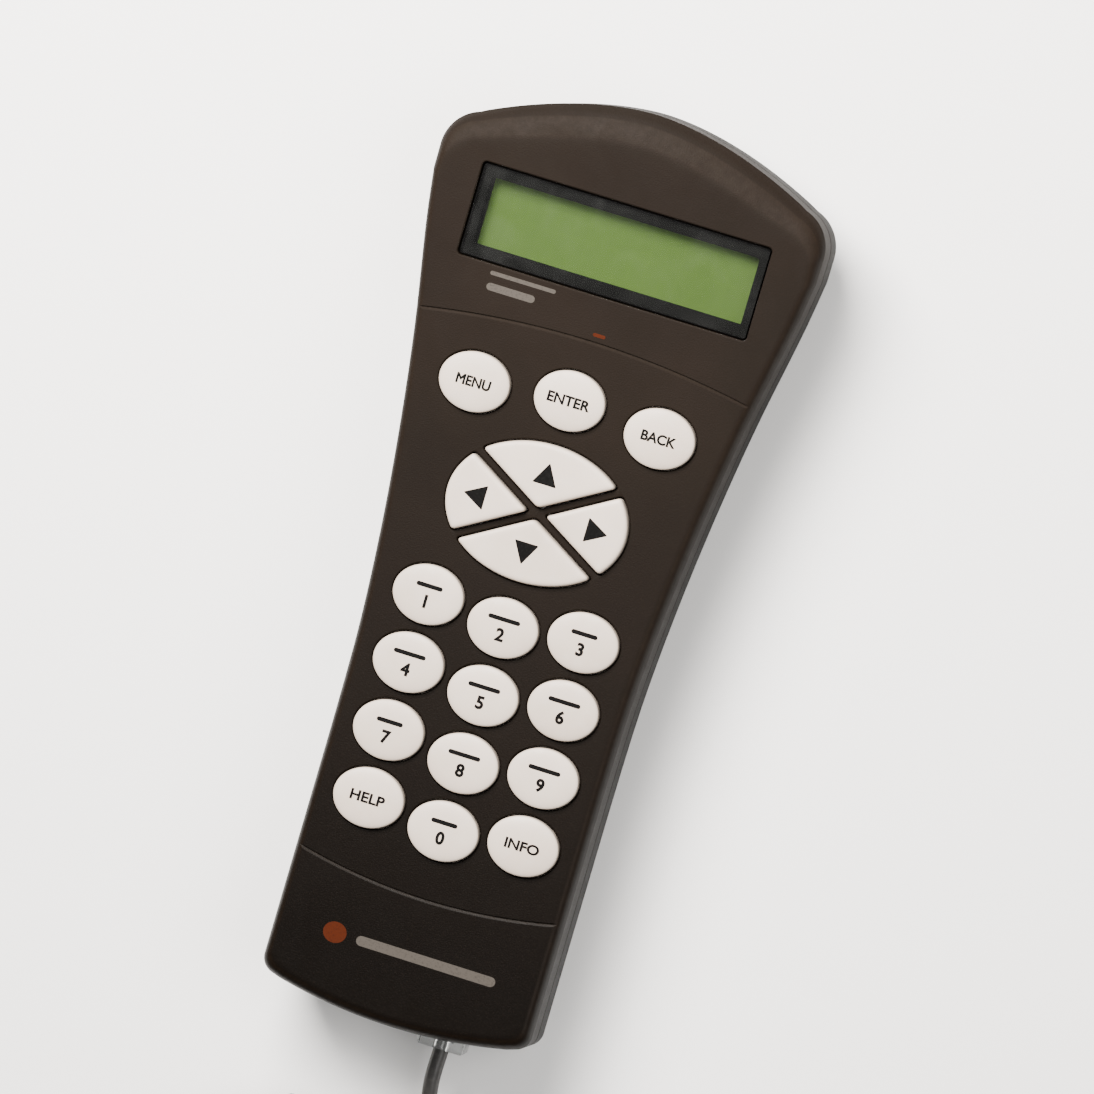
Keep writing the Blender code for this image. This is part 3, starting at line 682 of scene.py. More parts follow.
def offset(outline, distance):
    """The anticlockwise outline moved out by a distance, or in by a negative one."""
    moved = []
    count = len(outline)
    for i in range(count):
        before = Vector(outline[i - 1])
        here = Vector(outline[i])
        after = Vector(outline[(i + 1) % count])
        first = (here - before).normalized()
        second = (after - here).normalized()
        out = Vector((first.y + second.y, -first.x - second.x)).normalized()
        reach = distance / max(out.dot(Vector((first.y, -first.x))), 0.4)
        moved.append(tuple(here + out * reach))
    return moved


def round_corners(outline, radius, steps=6):
    """Swaps each sharp corner of an anticlockwise outline for a curve that starts radius away from it."""
    made = []
    count = len(outline)
    for i in range(count):
        here = Vector(outline[i])
        to_last = Vector(outline[i - 1]) - here
        to_next = Vector(outline[(i + 1) % count]) - here
        if to_last.angle(to_next) > math.radians(150):
            made.append(tuple(here))
            continue
        a = here + to_last.normalized() * min(radius, to_last.length * 0.9)
        b = here + to_next.normalized() * min(radius, to_next.length * 0.9)
        for step in range(steps + 1):
            t = step / steps
            made.append(tuple(a * (1 - t) ** 2 + here * 2 * t * (1 - t) + b * t**2))
    return made


def smooth_route(knots, steps):
    """A Catmull-Rom curve through the knots, with steps points to each stretch."""
    ends = [Vector(knot) for knot in [knots[0], *knots, knots[-1]]]
    route = []
    for a, b, c, d in zip(ends, ends[1:], ends[2:], ends[3:]):
        for step in range(steps):
            t = step / steps
            bend = (2 * a - 5 * b + 4 * c - d) * t**2 + (3 * b - a - 3 * c + d) * t**3
            route.append(tuple((2 * b + (c - a) * t + bend) / 2))
    route.append(tuple(knots[-1]))
    return route


def half_outline():
    """The case's right side seen from the front, from near the bottom's middle to near the top's."""
    corner_x, corner_y, corner_radius = BOTTOM_CORNER
    bottom_x = corner_x + corner_radius * math.cos(math.radians(-72.0))
    bottom = []
    for i in range(1, 14):
        x = bottom_x * i / 14
        bottom.append((x, -END_Y + BOTTOM_RISE * (x / bottom_x) ** 2))
    corner = arc(corner_x, corner_y, corner_radius, -72.0, 0.0, 9)
    straight = [(BODY_HALF, -84.0 + 44.0 * i / 8) for i in range(8)]
    flank = straight + smooth_route(FLANK[1:], 6)
    shoulder = arc(*SHOULDER, 0.0, 72.0, 16)
    dome = []
    dome_x = shoulder[-1][0]
    for i in range(19, 0, -1):
        x = dome_x * i / 20
        dome.append((x, END_Y - DOME_DROP * x**DOME_POWER))
    return bottom + corner + flank + shoulder + dome


HALF_OUTLINE = half_outline()


def case_outline():
    left = [(-x, y) for x, y in reversed(HALF_OUTLINE)]
    return [(0.0, -END_Y)] + HALF_OUTLINE + [(0.0, END_Y)] + left


def half_width(y):
    """The case's half width at this height, or at the nearest widest place beyond the flank."""
    if y <= FLANK[0][1]:
        return BODY_HALF
    if y >= FLANK[-1][1]:
        return HEAD_HALF
    for (x0, y0), (x1, y1) in zip(HALF_OUTLINE, HALF_OUTLINE[1:]):
        if y0 <= y <= y1:
            return x0 + (x1 - x0) * (y - y0) / (y1 - y0)
    return HEAD_HALF


def smoothstep(value, low, high):
    t = min(max((value - low) / (high - low), 0.0), 1.0)
    return t * t * (3 - 2 * t)


def inset(side, end=None, brow=0.0):
    """The case outline drawn in by side, by end at the bottom, and by brow more towards the top."""
    drawn = []
    for x, y in case_outline():
        across = side + 0.35 * brow * smoothstep(y, 72.0, 88.0)
        along = side + brow * smoothstep(y, 72.0, 92.0)
        if y < 0 and end is not None:
            along = end
        drawn.append((x * (1 - across / half_width(y)), y * (1 - along / END_Y)))
    return drawn


def oval_places():
    """Where each oval key is."""
    places = dict(TOP_KEYS)
    for row, names in enumerate(NUMBER_KEYS):
        for column, name in enumerate(names):
            drop = MIDDLE_DROP if column == 1 else 0.0
            places[name] = (COLUMN * (column - 1), FIRST_ROW_Y - ROW * row - drop)
    return places


def pad_sector(quarter, grow, side, steps=28):
    """A quarter of the oval pad. grow widens its arc, and side is its distance from the bars' middles."""
    angle = math.radians(PAD_ANGLE)
    half = angle if quarter % 2 else math.pi / 2 - angle
    middle = math.pi / 2 - quarter * math.pi / 2
    across = PAD[0] + grow
    along = PAD[1] + grow
    tip = Vector((math.cos(middle), math.sin(middle))) * side / math.sin(half)
    ends = []
    for turn in (middle - half, middle + half):
        ray = Vector((math.cos(turn), math.sin(turn)))
        a = (ray.x / across) ** 2 + (ray.y / along) ** 2
        b = tip.x * ray.x / across**2 + tip.y * ray.y / along**2
        c = (tip.x / across) ** 2 + (tip.y / along) ** 2 - 1
        end = tip + ray * (math.sqrt(b * b - a * c) - b) / a
        ends.append(math.atan2(end.y / along, end.x / across))
    if ends[1] < ends[0]:
        ends[1] += 2 * math.pi
    outline = [(tip.x, tip.y + PAD_Y)]
    for i in range(steps + 1):
        t = ends[0] + (ends[1] - ends[0]) * i / steps
        outline.append((across * math.cos(t), along * math.sin(t) + PAD_Y))
    return outline


def key_outlines(grow, side):
    """Each key's outline, grown from the key's own."""
    outlines = {}
    for name, (x, y) in oval_places().items():
        outlines[name] = ellipse((KEY[0] + grow, KEY[1] + grow), x, y)
    for name, quarter in PAD_KEYS.items():
        outlines[name] = round_corners(pad_sector(quarter, grow, side), PAD_CORNER)
    return outlines


# Case


def edge_rings(knots, end_is_top):
    """Rings of the case outline along a smooth edge, from its knots."""
    rings = []
    for side, more, z in smooth_route(knots, 4):
        outline = inset(side, brow=more) if end_is_top else inset(side, more)
        rings.append(at_height(outline, z))
    return rings


def hole_rings(outline, low_z):
    """A hole down through the face, with its rim rounded."""
    rings = []
    for i in range(5):
        turn = math.radians(90.0 * i / 4)
        grow = RIM_ROUND * (1 - math.sin(turn))
        rings.append(at_height(offset(outline, grow), FACE_Z - RIM_ROUND * (1 - math.cos(turn))))
    rings.append(at_height(outline, low_z))
    return rings


def groove_cutter():
    """Cutters for the fine lines, each steep on its upper side and sloped on its lower one."""
    work = bmesh.new()
    half_wide = GROOVE[0] / 2
    low = FACE_Z - GROOVE[1]
    section = [(-half_wide, FACE_Z), (half_wide - 0.24, low), (half_wide - 0.12, low)]
    section += [(half_wide, FACE_Z), (half_wide, FACE_Z + 1), (-half_wide, FACE_Z + 1)]
    for half, end_y, rise in GROOVES:
        rings = []
        for i in range(61):
            x = -half + 2 * half * i / 60
            y = end_y + rise * (1 - (x / half) ** 2)
            rings.append([(x, y + across, z) for across, z in section])
        add_rings(work, rings, True, True)
    return to_object(work, "groove_cutter")


def many_posts(places, z0, z1, radius):
    work = bmesh.new()
    for x, y in places:
        add_post(work, x, y, z0, z1, radius)
    return to_object(work, "posts")


def make_front_case(material):
    work = bmesh.new()
    rings = [at_height(inset(side, brow=brow), z) for side, brow, z in FRONT_INNER]
    rings.append(at_height(inset(WALL), PARTING_Z))
    for side, lift in ((0.2, 0.0), (0.06, 0.06), (0.0, 0.2)):
        rings.append(at_height(inset(side), PARTING_Z + lift))
    rings += edge_rings(FRONT_EDGE, True)
    outer = add_rings(work, rings)
    tops = [outer[-1]]
    lows = [outer[0]]
    for outline in key_outlines(GAP, PAD_BAR / 2).values():
        levels = add_rings(work, hole_rings(outline, CEILING_Z))
        tops.append(levels[0])
        lows.append(levels[-1])
    recess = hole_rings(rounded_box(RECESS, 0.9, y=DISPLAY_Y), LEDGE_Z)
    opening = rounded_box(OPENING, 0.5, y=DISPLAY_Y)
    rim = rounded_box(RIM, 1.2, y=DISPLAY_Y)
    recess += [at_height(opening, LEDGE_Z), at_height(opening, RIM_Z)]
    recess += [at_height(rim, RIM_Z), at_height(rim, CEILING_Z)]
    levels = add_rings(work, recess)
    tops.append(levels[0])
    lows.append(levels[-1])
    add_sheet(work, tops)
    add_sheet(work, lows)
    shell = to_object(work, "front_case")
    top = CEILING_Z + 0.5
    case_places = CASE_SCREWS.values()
    steps = [
        (many_posts(case_places, PARTING_Z + GAP, top, 3.0), "UNION"),
        (many_posts(DISPLAY_SCREWS, 19.5, top, 1.7), "UNION"),
        (many_posts(KEYPAD_SCREWS, 18.0, top, 1.9), "UNION"),
        (many_posts(case_places, 16.0, 23.5, 1.4), "DIFFERENCE"),
        (many_posts(DISPLAY_SCREWS + KEYPAD_SCREWS, 16.0, 23.1, 1.05), "DIFFERENCE"),
        (groove_cutter(), "DIFFERENCE"),
    ]
    cut(shell, steps)
    dress(shell, "controller", material, sharp=27.0, flat=True)
    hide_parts("front_shell")


def make_back_case(material):
    rim_z = PARTING_Z - GAP
    inner = WALL + GAP + TONGUE
    rings = [at_height(inset(side, end), z) for side, end, z in BACK_INNER]
    rings.append(at_height(inset(inner, 3.0), TONGUE_TOP_Z))
    rings.append(at_height(inset(WALL + GAP), TONGUE_TOP_Z))
    rings.append(at_height(inset(WALL + GAP), rim_z))
    for side, drop in ((0.2, 0.0), (0.06, 0.06), (0.0, 0.2)):
        rings.append(at_height(inset(side), rim_z - drop))
    rings += edge_rings(BACK_EDGE, False)
    work = bmesh.new()
    add_rings(work, rings, True, True)
    shell = to_object(work, "back_case")
    places = CASE_SCREWS.values()
    windows = bmesh.new()
    clear = GAP + 0.05
    for middle, _, body in (CORD_JACK, SERIAL_JACK):
        half = body / 2 + clear
        low = (middle - half, -END_Y - 5, JACK_Z[0] - clear)
        high = (middle + half, JACK_FACE_Y + 6, JACK_Z[1] + clear)
        add_box(windows, low, high, 0.4)
    recess = bmesh.new()
    outline = rounded_box((LABEL[0] + 2 * GAP, LABEL[1] + 2 * GAP), 2.3, y=LABEL[2])
    add_rings(recess, [at_height(outline, -1.0), at_height(outline, LABEL_Z[1] + GAP)], True, True)
    steps = [
        (many_posts(places, 1.8, PARTING_Z, 3.5), "UNION"),
        (many_posts(places, -1.0, SCREW_HEAD[0] + SCREW_HEAD[2] + GAP, 2.6), "DIFFERENCE"),
        (many_posts(places, 3.0, TONGUE_TOP_Z + 1, 1.5), "DIFFERENCE"),
        (to_object(windows, "jack_windows"), "DIFFERENCE"),
        (to_object(recess, "label_recess"), "DIFFERENCE"),
    ]
    cut(shell, steps)
    dress(shell, "controller", material, flat=True)
    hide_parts("back_shell")


# Keys


def oval_drop(x, y, centre):
    """How far an oval key's top lies below its crown."""
    r = min(math.hypot((x - centre[0]) / KEY[0], (y - centre[1]) / KEY[1]), 1.0)
    return KEY_DROP * (1 - (1 - r**KEY_POWER) ** (1 / KEY_POWER))


def pad_drop(x, y):
    """How far the pad's top lies below its crown."""
    return PAD_CROWN * ((x / PAD[0]) ** 2 + ((y - PAD_Y) / PAD[1]) ** 2)


def key_foot(plunger, flange, neck):
    return [
        at_height(plunger, PLUNGER_Z),
        at_height(plunger, FLANGE_Z[0]),
        at_height(flange, FLANGE_Z[0]),
        at_height(flange, FLANGE_Z[1]),
        at_height(neck, FLANGE_Z[1]),
    ]


def finish_key(work, name, material):
    cap = to_object(work, name + "_cap")
    dress(cap, name, material)
    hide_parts(name)


def make_oval_key(name, centre, material):
    x, y = centre
    work = bmesh.new()
    neck = ellipse(KEY, x, y)
    rings = key_foot(ellipse(PLUNGER, x, y), ellipse((KEY[0] + FLANGE, KEY[1] + FLANGE), x, y), neck)
    for share in (1.0, 0.997, 0.988, 0.97, 0.945, 0.91, 0.86, 0.79, 0.7, 0.58, 0.44, 0.28, 0.12):
        size = (KEY[0] * share, KEY[1] * share)
        drop = KEY_DROP * (1 - (1 - share**KEY_POWER) ** (1 / KEY_POWER))
        rings.append(at_height(ellipse(size, x, y), KEY_TOP_Z - drop))
    levels = add_rings(work, rings, low_cap=True)
    add_fan(work, levels[-1], (x, y, KEY_TOP_Z))
    finish_key(work, name, material)


def make_pad_key(name, quarter, material):
    side = PAD_BAR / 2 + GAP
    neck = round_corners(pad_sector(quarter, 0.0, side), PAD_CORNER)
    flange = round_corners(pad_sector(quarter, FLANGE, side), PAD_CORNER)
    work = bmesh.new()
    rings = key_foot(resized(neck, 0.4), flange, neck)
    for inwards, below in PAD_EDGE:
        last = round_corners(pad_sector(quarter, -inwards, side + inwards), PAD_CORNER - 0.6 * inwards)
        rings.append([(x, y, KEY_TOP_Z - below - pad_drop(x, y)) for x, y in last])
    for ratio in (0.9, 0.78, 0.64, 0.48, 0.32, 0.15):
        rings.append([(x, y, KEY_TOP_Z - pad_drop(x, y)) for x, y in resized(last, ratio)])
    levels = add_rings(work, rings, low_cap=True)
    x, y = resized(last, 0.0)[0]
    add_fan(work, levels[-1], (x, y, KEY_TOP_Z - pad_drop(x, y)))
    finish_key(work, name, material)


# Print


def add_bar(work, x, y, size, parts=10):
    """A flat bar with round ends, cut across so that it can follow a curved top."""
    half = size[1] / 2
    reach = size[0] / 2 - half
    outline = arc(x + reach, y, half, -90.0, 90.0, 8)
    outline += [(x + reach - 2 * reach * i / parts, y + half) for i in range(1, parts)]
    outline += arc(x - reach, y, half, 90.0, 270.0, 8)
    outline += [(x - reach + 2 * reach * i / parts, y - half) for i in range(1, parts)]
    work.faces.new([work.verts.new((a, b, 0.0)) for a, b in outline])


def embolden(mesh, weight):
    """Moves the outline of flat lettering out by weight."""
    letters = bmesh.new()
    letters.from_mesh(mesh)
    bmesh.ops.remove_doubles(letters, verts=letters.verts, dist=0.0001)
    moves = {}
    for edge in letters.edges:
        if len(edge.link_faces) != 1:
            continue
        a, b = edge.verts
        across = (b.co - a.co).normalized()
        out = Vector((across.y, -across.x, 0.0))
        if out.dot(edge.link_faces[0].calc_center_median() - a.co) > 0:
            out = -out
        for vert in (a, b):
            moves.setdefault(vert, []).append(out)
    for vert, outs in moves.items():
        total = sum(outs, Vector())
        if total.length > 0.1:
            way = total.normalized()
            vert.co += way * weight / max(way.dot(outs[0]), 0.6)
    letters.to_mesh(mesh)
    letters.free()


def add_text(work, text, x, y, height, weight, width=None):
    """Flat lettering in the built-in typeface, its middle at x and y."""
    curve = bpy.data.curves.new("lettering", "FONT")
    curve.body = text
    curve.size = 1.0
    curve.resolution_u = 6
    obj = bpy.data.objects.new("lettering", curve)
    bpy.context.scene.collection.objects.link(obj)
    graph = bpy.context.evaluated_depsgraph_get()
    mesh = bpy.data.meshes.new_from_object(obj.evaluated_get(graph))
    bpy.data.objects.remove(obj, do_unlink=True)
    low = [min(v.co[i] for v in mesh.vertices) for i in range(2)]
    high = [max(v.co[i] for v in mesh.vertices) for i in range(2)]
    scale_y = height / (high[1] - low[1])
    scale_x = width / (high[0] - low[0]) if width else scale_y
    middle = Vector(((low[0] + high[0]) / 2, (low[1] + high[1]) / 2, 0.0))
    move = Matrix.Translation((x, y, 0.0)) @ Matrix.Diagonal((scale_x, scale_y, 1.0, 1.0))
    mesh.transform(move @ Matrix.Translation(-middle))
    embolden(mesh, weight)
    work.from_mesh(mesh)
    bpy.data.meshes.remove(mesh)


def add_triangle(work, x, y, size, turn):
    """A triangle that points along turn, in degrees anticlockwise from +X."""
    back = -size[1] * 0.45
    outline = [(size[1] * 0.55, 0.0), (back, size[0] / 2), (back, -size[0] / 2)]
    cos = math.cos(math.radians(turn))
    sin = math.sin(math.radians(turn))
    turned = [(x + a * cos - b * sin, y + a * sin + b * cos) for a, b in outline]
    work.faces.new([work.verts.new((a, b, 0.0)) for a, b in round_corners(turned, 0.25, 3)])


def finish_print(work, name, body, material, surface, thick=PRINT_THICK, sunk=0.05):
    """Gives flat print a little thickness on the surface, whose height is surface(x, y)."""
    bmesh.ops.remove_doubles(work, verts=work.verts, dist=0.002)
    bmesh.ops.triangulate(work, faces=work.faces)
    long_edges = [edge for edge in work.edges if edge.calc_length() > 0.7]
    bmesh.ops.subdivide_edges(work, edges=long_edges, cuts=2, use_grid_fill=True)
    bmesh.ops.triangulate(work, faces=work.faces)
    pulled = bmesh.ops.extrude_face_region(work, geom=list(work.faces), use_keep_orig=True)
    raised = {item for item in pulled["geom"] if isinstance(item, bmesh.types.BMVert)}
    for vert in work.verts:
        z = surface(vert.co.x, vert.co.y)
        vert.co.z = z + thick if vert in raised else z - sunk
    obj = to_object(work, name)
    return dress(obj, body, material, sharp=30.0)


def make_key_print(ink):
    """A word on each function key, a digit under a bar on each number key, and the pad's arrows."""
    for name, centre in oval_places().items():
        x, y = centre
        word = name[len("key_") :].upper()
        work = bmesh.new()
        if word.isdigit():
            add_text(work, word, x, y - 1.35, 2.4, 0.13)
            add_bar(work, x, y + 1.75, (5.4 if word in "1370" else 6.6, 0.85))
        else:
            add_text(work, word, x, y, 1.9, 0.09, width=1.62 * len(word) + 0.4)
        top = partial(oval_top, centre)
        finish_print(work, name + "_print", name, ink, top)
    arrows = [("key_up", 0.0, 20.0, 90.0), ("key_right", 12.5, PAD_Y, 0.0)]
    arrows += [("key_down", 0.0, 4.2, 270.0), ("key_left", -12.5, PAD_Y, 180.0)]
    for name, x, y, turn in arrows:
        work = bmesh.new()
        add_triangle(work, x, y, (4.9, 4.4), turn)
        finish_print(work, name + "_print", name, ink, pad_top)


def oval_top(centre, x, y):
    return KEY_TOP_Z - oval_drop(x, y, centre)


def pad_top(x, y):
    return KEY_TOP_Z - pad_drop(x, y)


def on_face(_x, _y):
    return FACE_Z


def on_label(_x, _y):
    return LABEL_Z[0]


def make_bars(name, ink, *bars):
    """One print of plain bars: each one's middle, size and, on a long one, parts."""
    work = bmesh.new()
    for bar in bars:
        add_bar(work, *bar)
    finish_print(work, name, "controller", ink, on_face)


def make_face_print(pale, amber):
    """Plain bars and a dot on the face."""
    make_bars("print_under_display", pale, (-15.6, 54.6, (13.6, 0.8)), (-17.4, 51.9, (10.0, 1.5)))
    make_bars("print_lower_bar", pale, (3.9, -78.6, (29.0, 2.0), 20))
    work = bmesh.new()
    work.faces.new([work.verts.new((a, b, 0.0)) for a, b in ellipse((2.4, 2.1), -15.1, -78.5, 40)])
    finish_print(work, "print_lower_dot", "controller", amber, on_face)
    make_bars("print_upper_dash", amber, (1.9, 48.9, (2.6, 0.7)))


def make_label_print(ink):
    """A plain frame and blank bars on the back label, which faces down."""
    work = bmesh.new()
    rings = []
    for less, radius in ((2.0, 1.4), (2.7, 1.1)):
        outline = rounded_box((LABEL[0] - less, LABEL[1] - less), radius, y=LABEL[2])
        rings.append(at_height(outline, 0.0))
    add_rings(work, rings)
    for i, width in enumerate((20.0, 16.0, 18.0)):
        add_bar(work, 0.0, LABEL[2] + 14.0 - 4.2 * i, (width, 1.1))
    add_bar(work, 0.0, LABEL[2] - 15.0, (21.0, 4.0))
    finish_print(work, "back_label_print", "controller", ink, on_label, -0.03, -0.02)


# Display, screws, jacks and plugs


def make_window(material, black):
    """The clear pane with blackened edges, over a black border."""
    outline = rounded_box(WINDOW, 0.6, y=DISPLAY_Y)
    low, high = WINDOW_Z
    edge = ((-0.1, low), (0.0, low + 0.1), (0.0, high - 0.18), (-0.06, high - 0.05), (-0.18, high))
    work = bmesh.new()
    add_rings(work, [at_height(offset(outline, grow), z) for grow, z in edge], True, True)
    pane = to_object(work, "display_pane")
    dress(pane, "controller", material, sharp=25.0, flat=True)
    pane.data.materials.append(black)
    for face in pane.data.polygons:
        if abs(face.normal.z) < 0.99:
            face.material_index = 1
    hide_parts("display_window")
    low, high = BORDER_Z
    outer = offset(outline, -0.1)
    inner = rounded_box(BORDER_OPENING, 0.6, y=DISPLAY_Y)
    section = ((inner, low), (outer, low), (outer, high), (inner, high))
    work = bmesh.new()
    levels = add_rings(work, [at_height(ring, z) for ring, z in section])
    first, last = levels[0], levels[-1]
    for a, b, c, d in zip(last, last[1:] + last[:1], first[1:] + first[:1], first):
        work.faces.new((a, b, c, d))
    dress(to_object(work, "display_border"), "controller", black, flat=True)


def make_screw(name, x, y, material):
    """A pan-head screw that points up, with a cross recess in its head."""
    head_z, head_radius, head_height, shank_radius, tip_z = SCREW_HEAD
    profile = [(0.0, tip_z), (0.4 * shank_radius, tip_z), (shank_radius, tip_z - 0.8)]
    z = tip_z - 0.8
    while z > head_z + head_height + 4.0:
        for share, below in ((0.98, 0.1), (0.8, 0.35), (0.98, 0.6)):
            profile.append((share * shank_radius, z - below))
        z -= 0.7
    profile.append((0.9 * shank_radius, head_z + head_height))
    profile.append((head_radius - 0.06, head_z + head_height))
    profile.append((head_radius, head_z + head_height - 0.08))
    # The round head: how far in and how far up
    for inwards, up in ((0.0, 0.75), (0.1, 0.42), (0.35, 0.17), (0.75, 0.04), (1.2, 0.0)):
        profile.append((head_radius - inwards, head_z + up))
    profile.append((0.0, head_z))
    work = bmesh.new()
    add_turned(work, x, y, profile)
    screw = to_object(work, name + "_turned")
    for wide, long in ((0.42, 1.3), (1.3, 0.42)):
        low = [(x - wide, y - long), (x + wide, y - long), (x + wide, y + long), (x - wide, y + long)]
        high = [(x + (a - x) * 0.6, y + (b - y) * 0.6) for a, b in low]
        cross = bmesh.new()
        add_rings(cross, [at_height(low, head_z - 0.3), at_height(high, head_z + 1.15)], True, True)
        cut(screw, [(to_object(cross, "cross"), "DIFFERENCE")])
    dress(screw, "controller", material, sharp=30.0)
    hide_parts(name)


def tee_outline(middle, half, slot, low, shoulder, high):
    right = [(slot, low), (slot, shoulder), (half, shoulder), (half, high)]
    return [(middle + x, z) for x, z in both_sides(right)]


def along_y(outline, y):
    return [(x, y, z) for x, z in outline]


def make_jack(name, place, contacts, plastic, gold):
    middle, opening, body = place
    work = bmesh.new()
    low = (middle - body / 2, JACK_FACE_Y, JACK_Z[0])
    high = (middle + body / 2, JACK_FACE_Y + JACK_DEPTH, JACK_Z[1])
    add_box(work, low, high, 0.25)
    jack = to_object(work, name + "_housing")
    work = bmesh.new()
    section = tee_outline(middle, opening / 2, LATCH_SLOT, *SOCKET_Z)
    rings = []
    for y, flare in ((-0.5, 0.25), (0.0, 0.25), (0.35, 0.0), (SOCKET_DEPTH, 0.0)):
        rings.append(along_y(offset(section, flare), JACK_FACE_Y + y))
    add_rings(work, rings, True, True)
    cut(jack, [(to_object(work, "socket"), "DIFFERENCE")])
    dress(jack, "controller", plastic, flat=True)
    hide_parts(name)
    if not contacts:
        return
    work = bmesh.new()
    for i in range(contacts):
        x = middle + BLADE_PITCH * (i - (contacts - 1) / 2)
        route = [(x, JACK_FACE_Y + along, z) for along, z in CONTACT]
        add_wire(work, smooth_route(route, 3), 0.36)
    wires = to_object(work, name + "_contacts")
    dress(wires, "controller", gold)


def make_plug(name, x, y, z, clear, gold):
    """A modular plug lying along Y with its cord end at y, and its latch under it."""
    top = z + PLUG_UP
    low = z - PLUG_DOWN[1]
    tip = z - PLUG_DOWN[0]
    front = y + PLUG_LENGTH
    blade_places = [x + BLADE_PITCH * (i - 2.5) for i in range(6)]
    rings = []
    for along, narrow, down in PLUG_BODY:
        size = (PLUG_WIDTH - 2 * narrow, top - low - down - narrow)
        rings.append(along_y(rounded_box(size, 0.5, x, (top - down + low + narrow) / 2), y + along))
    work = bmesh.new()
    add_rings(work, rings, True, True)
    body = to_object(work, name + "_clear")
    cuts = bmesh.new()
    for at in blade_places:
        add_box(cuts, (at - 0.22, front - 5.2, top - 1.5), (at + 0.22, front + 1.0, top + 1.0))
    add_box(cuts, (x - 2.2, y + 4.6, top - 1.0), (x + 2.2, y + 7.4, top + 1.0))
    profile = [(front - 0.2, low + 0.6), (front - 0.35, low - 0.75), (front - 1.6, low - 0.95)]
    profile += [(front - 6.0, tip + 0.25), (y + 1.8, tip), (y + 1.6, tip + 0.55)]
    profile += [(front - 6.2, tip + 0.95), (front - 2.4, low + 0.1), (front - 2.6, low + 0.6)]
    latch = bmesh.new()
    sides = (-PLUG_LATCH, PLUG_LATCH)
    add_rings(latch, [[(x + side, a, b) for a, b in profile] for side in sides], True, True)
    bore = bmesh.new()
    ring = ellipse((WIRE / 2 + 0.02, WIRE / 2 + 0.02), x, z, 32)
    add_rings(bore, [along_y(ring, y - 1.0), along_y(ring, y + 8.0)], True, True)
    steps = [
        (to_object(latch, "latch"), "UNION"),
        (to_object(cuts, "slots"), "DIFFERENCE"),
        (to_object(bore, "bore"), "DIFFERENCE"),
    ]
    cut(body, steps)
    dress(body, "controller", clear, sharp=30.0)
    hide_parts(name)
    work = bmesh.new()
    for at in blade_places:
        add_box(work, (at - 0.15, front - 4.9, top - 3.4), (at + 0.15, front - 0.7, top - 0.75), 0.05)
    blades = to_object(work, name + "_blades")
    dress(blades, "controller", gold)
    return [body, blades]


# Cord


def ring_point(degrees, radius, z):
    t = math.radians(degrees)
    return Vector((RING_CENTRE[0] + radius * math.cos(t), RING_CENTRE[1] + radius * math.sin(t), z))


def along_ring(degrees):
    """The way the cord runs at this angle: clockwise seen from above."""
    t = math.radians(degrees)
    return Vector((math.sin(t), -math.cos(t), 0.0))


def helix_route():
    """The curly part, round the ring. It starts and ends at the bottom of a turn, and eases in and out."""
    length = math.radians(COIL_SWEEP) * RING
    full = 2 * math.pi * COIL_TURNS / (length - COIL_RAMP)
    radius = (COIL - WIRE) / 2
    steps = COIL_TURNS * TURN_STEPS
    eased = COIL_RAMP / length
    route = []
    for i in range(steps + 1):
        share = i / steps
        # The turning rises over the first ramp, holds, and falls over the last one.
        rise = min(share / eased, 1.0)
        fall = min((1 - share) / eased, 1.0)
        turned = full * length * (share - eased / 2)
        if rise < 1.0:
            turned = full * length * eased * (rise**3 - rise**4 / 2)
        elif fall < 1.0:
            turned = 2 * math.pi * COIL_TURNS - full * length * eased * (fall**3 - fall**4 / 2)
        spin = turned - math.pi / 2
        degrees = COIL_START - COIL_SWEEP * share
        route.append(ring_point(degrees, RING + radius * math.cos(spin), COIL_Z + radius * math.sin(spin)))
    return route


def cord_route():
    rear_y = JACK_FACE_Y - PLUG_OUT
    start = (CORD_JACK[0], rear_y - GAP, PLUG_Z)
    helix = helix_route()
    inside = [(CORD_JACK[0], rear_y + 7.5, PLUG_Z), (CORD_JACK[0], rear_y + 3.0, PLUG_Z)]
    before = tuple(helix[0] - 4.0 * along_ring(COIL_START))
    inner = smooth_route([*inside, start, *INNER_LEAD, before, tuple(helix[0])], 6)
    after = COIL_START - COIL_SWEEP
    outer = [tuple(helix[-1]), tuple(helix[-1] + 4.0 * along_ring(after))]
    outer += [tuple(ring_point(*place)) for place in OUTER_LEAD]
    x, y, z = OUTER_PLUG
    outer += [(x + 0.5, y - GAP - 4.2, z - 0.5), (x, y - GAP, z), (x, y + 3.0, z), (x, y + 7.5, z)]
    return inner[:-1] + [tuple(point) for point in helix] + smooth_route(outer, 6)[1:]


def make_cord(material):
    curve = bpy.data.curves.new("curly_cord", "CURVE")
    curve.dimensions = "3D"
    curve.bevel_depth = WIRE / 2 * MM
    curve.bevel_resolution = 4
    curve.use_fill_caps = True
    curve.materials.append(material)
    route = cord_route()
    spline = curve.splines.new("POLY")
    spline.points.add(len(route) - 1)
    for point, place in zip(spline.points, route):
        point.co = (*(Vector(place) * MM), 1.0)
    spline.use_smooth = True
    cord = bpy.data.objects.new("curly_cord", curve)
    bpy.context.scene.collection.objects.link(cord)
    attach(cord, "controller")
    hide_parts("cord_lead_inner", "cord_coil", "cord_lead_outer")


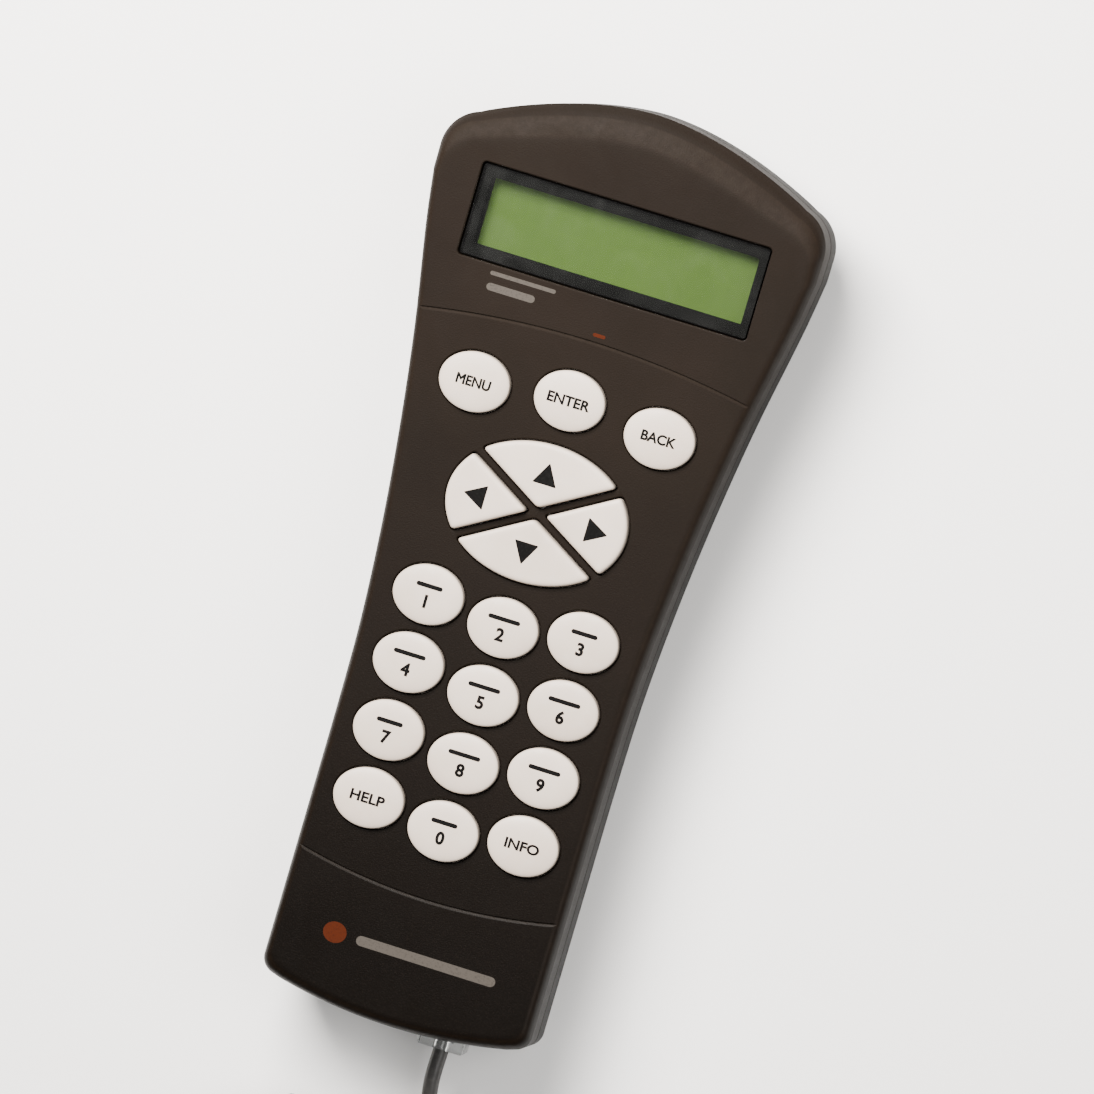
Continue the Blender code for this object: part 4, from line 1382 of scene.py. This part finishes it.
def finish_inner_nodes(metal, black):
    """Gives every CAD node that stays its own finish."""
    milky = ((0.75, 0.78, 0.68, 1.0), (0.82, 0.84, 0.76, 1.0))
    finishes = {
        "lcd_glass": lcd_material(),
        "lcd_frame": black,
        "lcd_gasket": foam_material(),
        "lcd_backlight": soft_material("light_guide", *milky, 0.4, 1800.0, 0.00003),
        "keypad_mat": soft_material("mat_rubber", grey(0.42, 0.02), grey(0.5, 0.02), 0.65, 1500.0, 0.00006),
        "back_label": label_material(),
    }
    chip = soft_material("chip_epoxy", grey(0.012), grey(0.02), 0.5, 3000.0, 0.00004)
    finishes |= dict.fromkeys(("lcd_board", "main_board"), board_material())
    finishes |= dict.fromkeys(("lcd_header", "processor", "memory_chip", "serial_driver"), chip)
    for name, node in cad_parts.items():
        if name == "crystal" or name.startswith("board_screw"):
            finishes[name] = metal
        if name in finishes:
            for slot in node.material_slots:
                slot.material = finishes[name]

make_camera()
make_stage()
GOLD = metal_material("contact_gold", (0.83, 0.6, 0.26, 1.0), 0.25)
STEEL = metal_material("zinc_steel", (0.55, 0.54, 0.52, 1.0), 0.32)
CLEAR = plug_material()
pieces = make_plug("plug_inner", CORD_JACK[0], JACK_FACE_Y - PLUG_OUT, PLUG_Z, CLEAR, GOLD)
pieces += make_plug("plug_outer", *OUTER_PLUG, CLEAR, GOLD)
make_cord(cord_material())
FACE_COLOURS = ((0.0046, 0.0028, 0.0016, 1.0), (0.0064, 0.0040, 0.0024, 1.0))
BACK_COLOURS = ((0.0026, 0.0018, 0.0012, 1.0), (0.004, 0.0028, 0.002, 1.0))
CASE_GLOSS = 0.64
make_front_case(case_material("face_plastic", *FACE_COLOURS, CASE_GLOSS))
make_back_case(case_material("back_plastic", *BACK_COLOURS, CASE_GLOSS))
RUBBER = key_material()
for key, centre in oval_places().items():
    make_oval_key(key, centre, RUBBER)
for key, quarter in PAD_KEYS.items():
    make_pad_key(key, quarter, RUBBER)
make_key_print(ink_material("legend_ink", grey(0.002, 0.06), grey(0.007, 0.06)))
PALE_INK = ink_material("pale_ink", grey(0.045, 0.14), grey(0.016, 0.14))
AMBER_INK = ink_material("amber_ink", (0.04, 0.0075, 0.002, 1.0), (0.016, 0.004, 0.0015, 1.0))
make_face_print(PALE_INK, AMBER_INK)
make_label_print(ink_material("label_ink", grey(0.06), grey(0.14)))
BLACK = soft_material("black_border", grey(0.0012), grey(0.0022), 0.8, 1400.0, 0.00001, 0.03)
make_window(window_material(), BLACK)
for screw, (screw_x, screw_y) in CASE_SCREWS.items():
    make_screw(screw, screw_x, screw_y, STEEL)
PLASTIC = soft_material("jack_nylon", grey(0.012), grey(0.02), 0.42, 1800.0, 0.00005)
make_jack("cord_jack", CORD_JACK, 0, PLASTIC, GOLD)
make_jack("serial_jack", SERIAL_JACK, 4, PLASTIC, GOLD)
finish_inner_nodes(STEEL, BLACK)
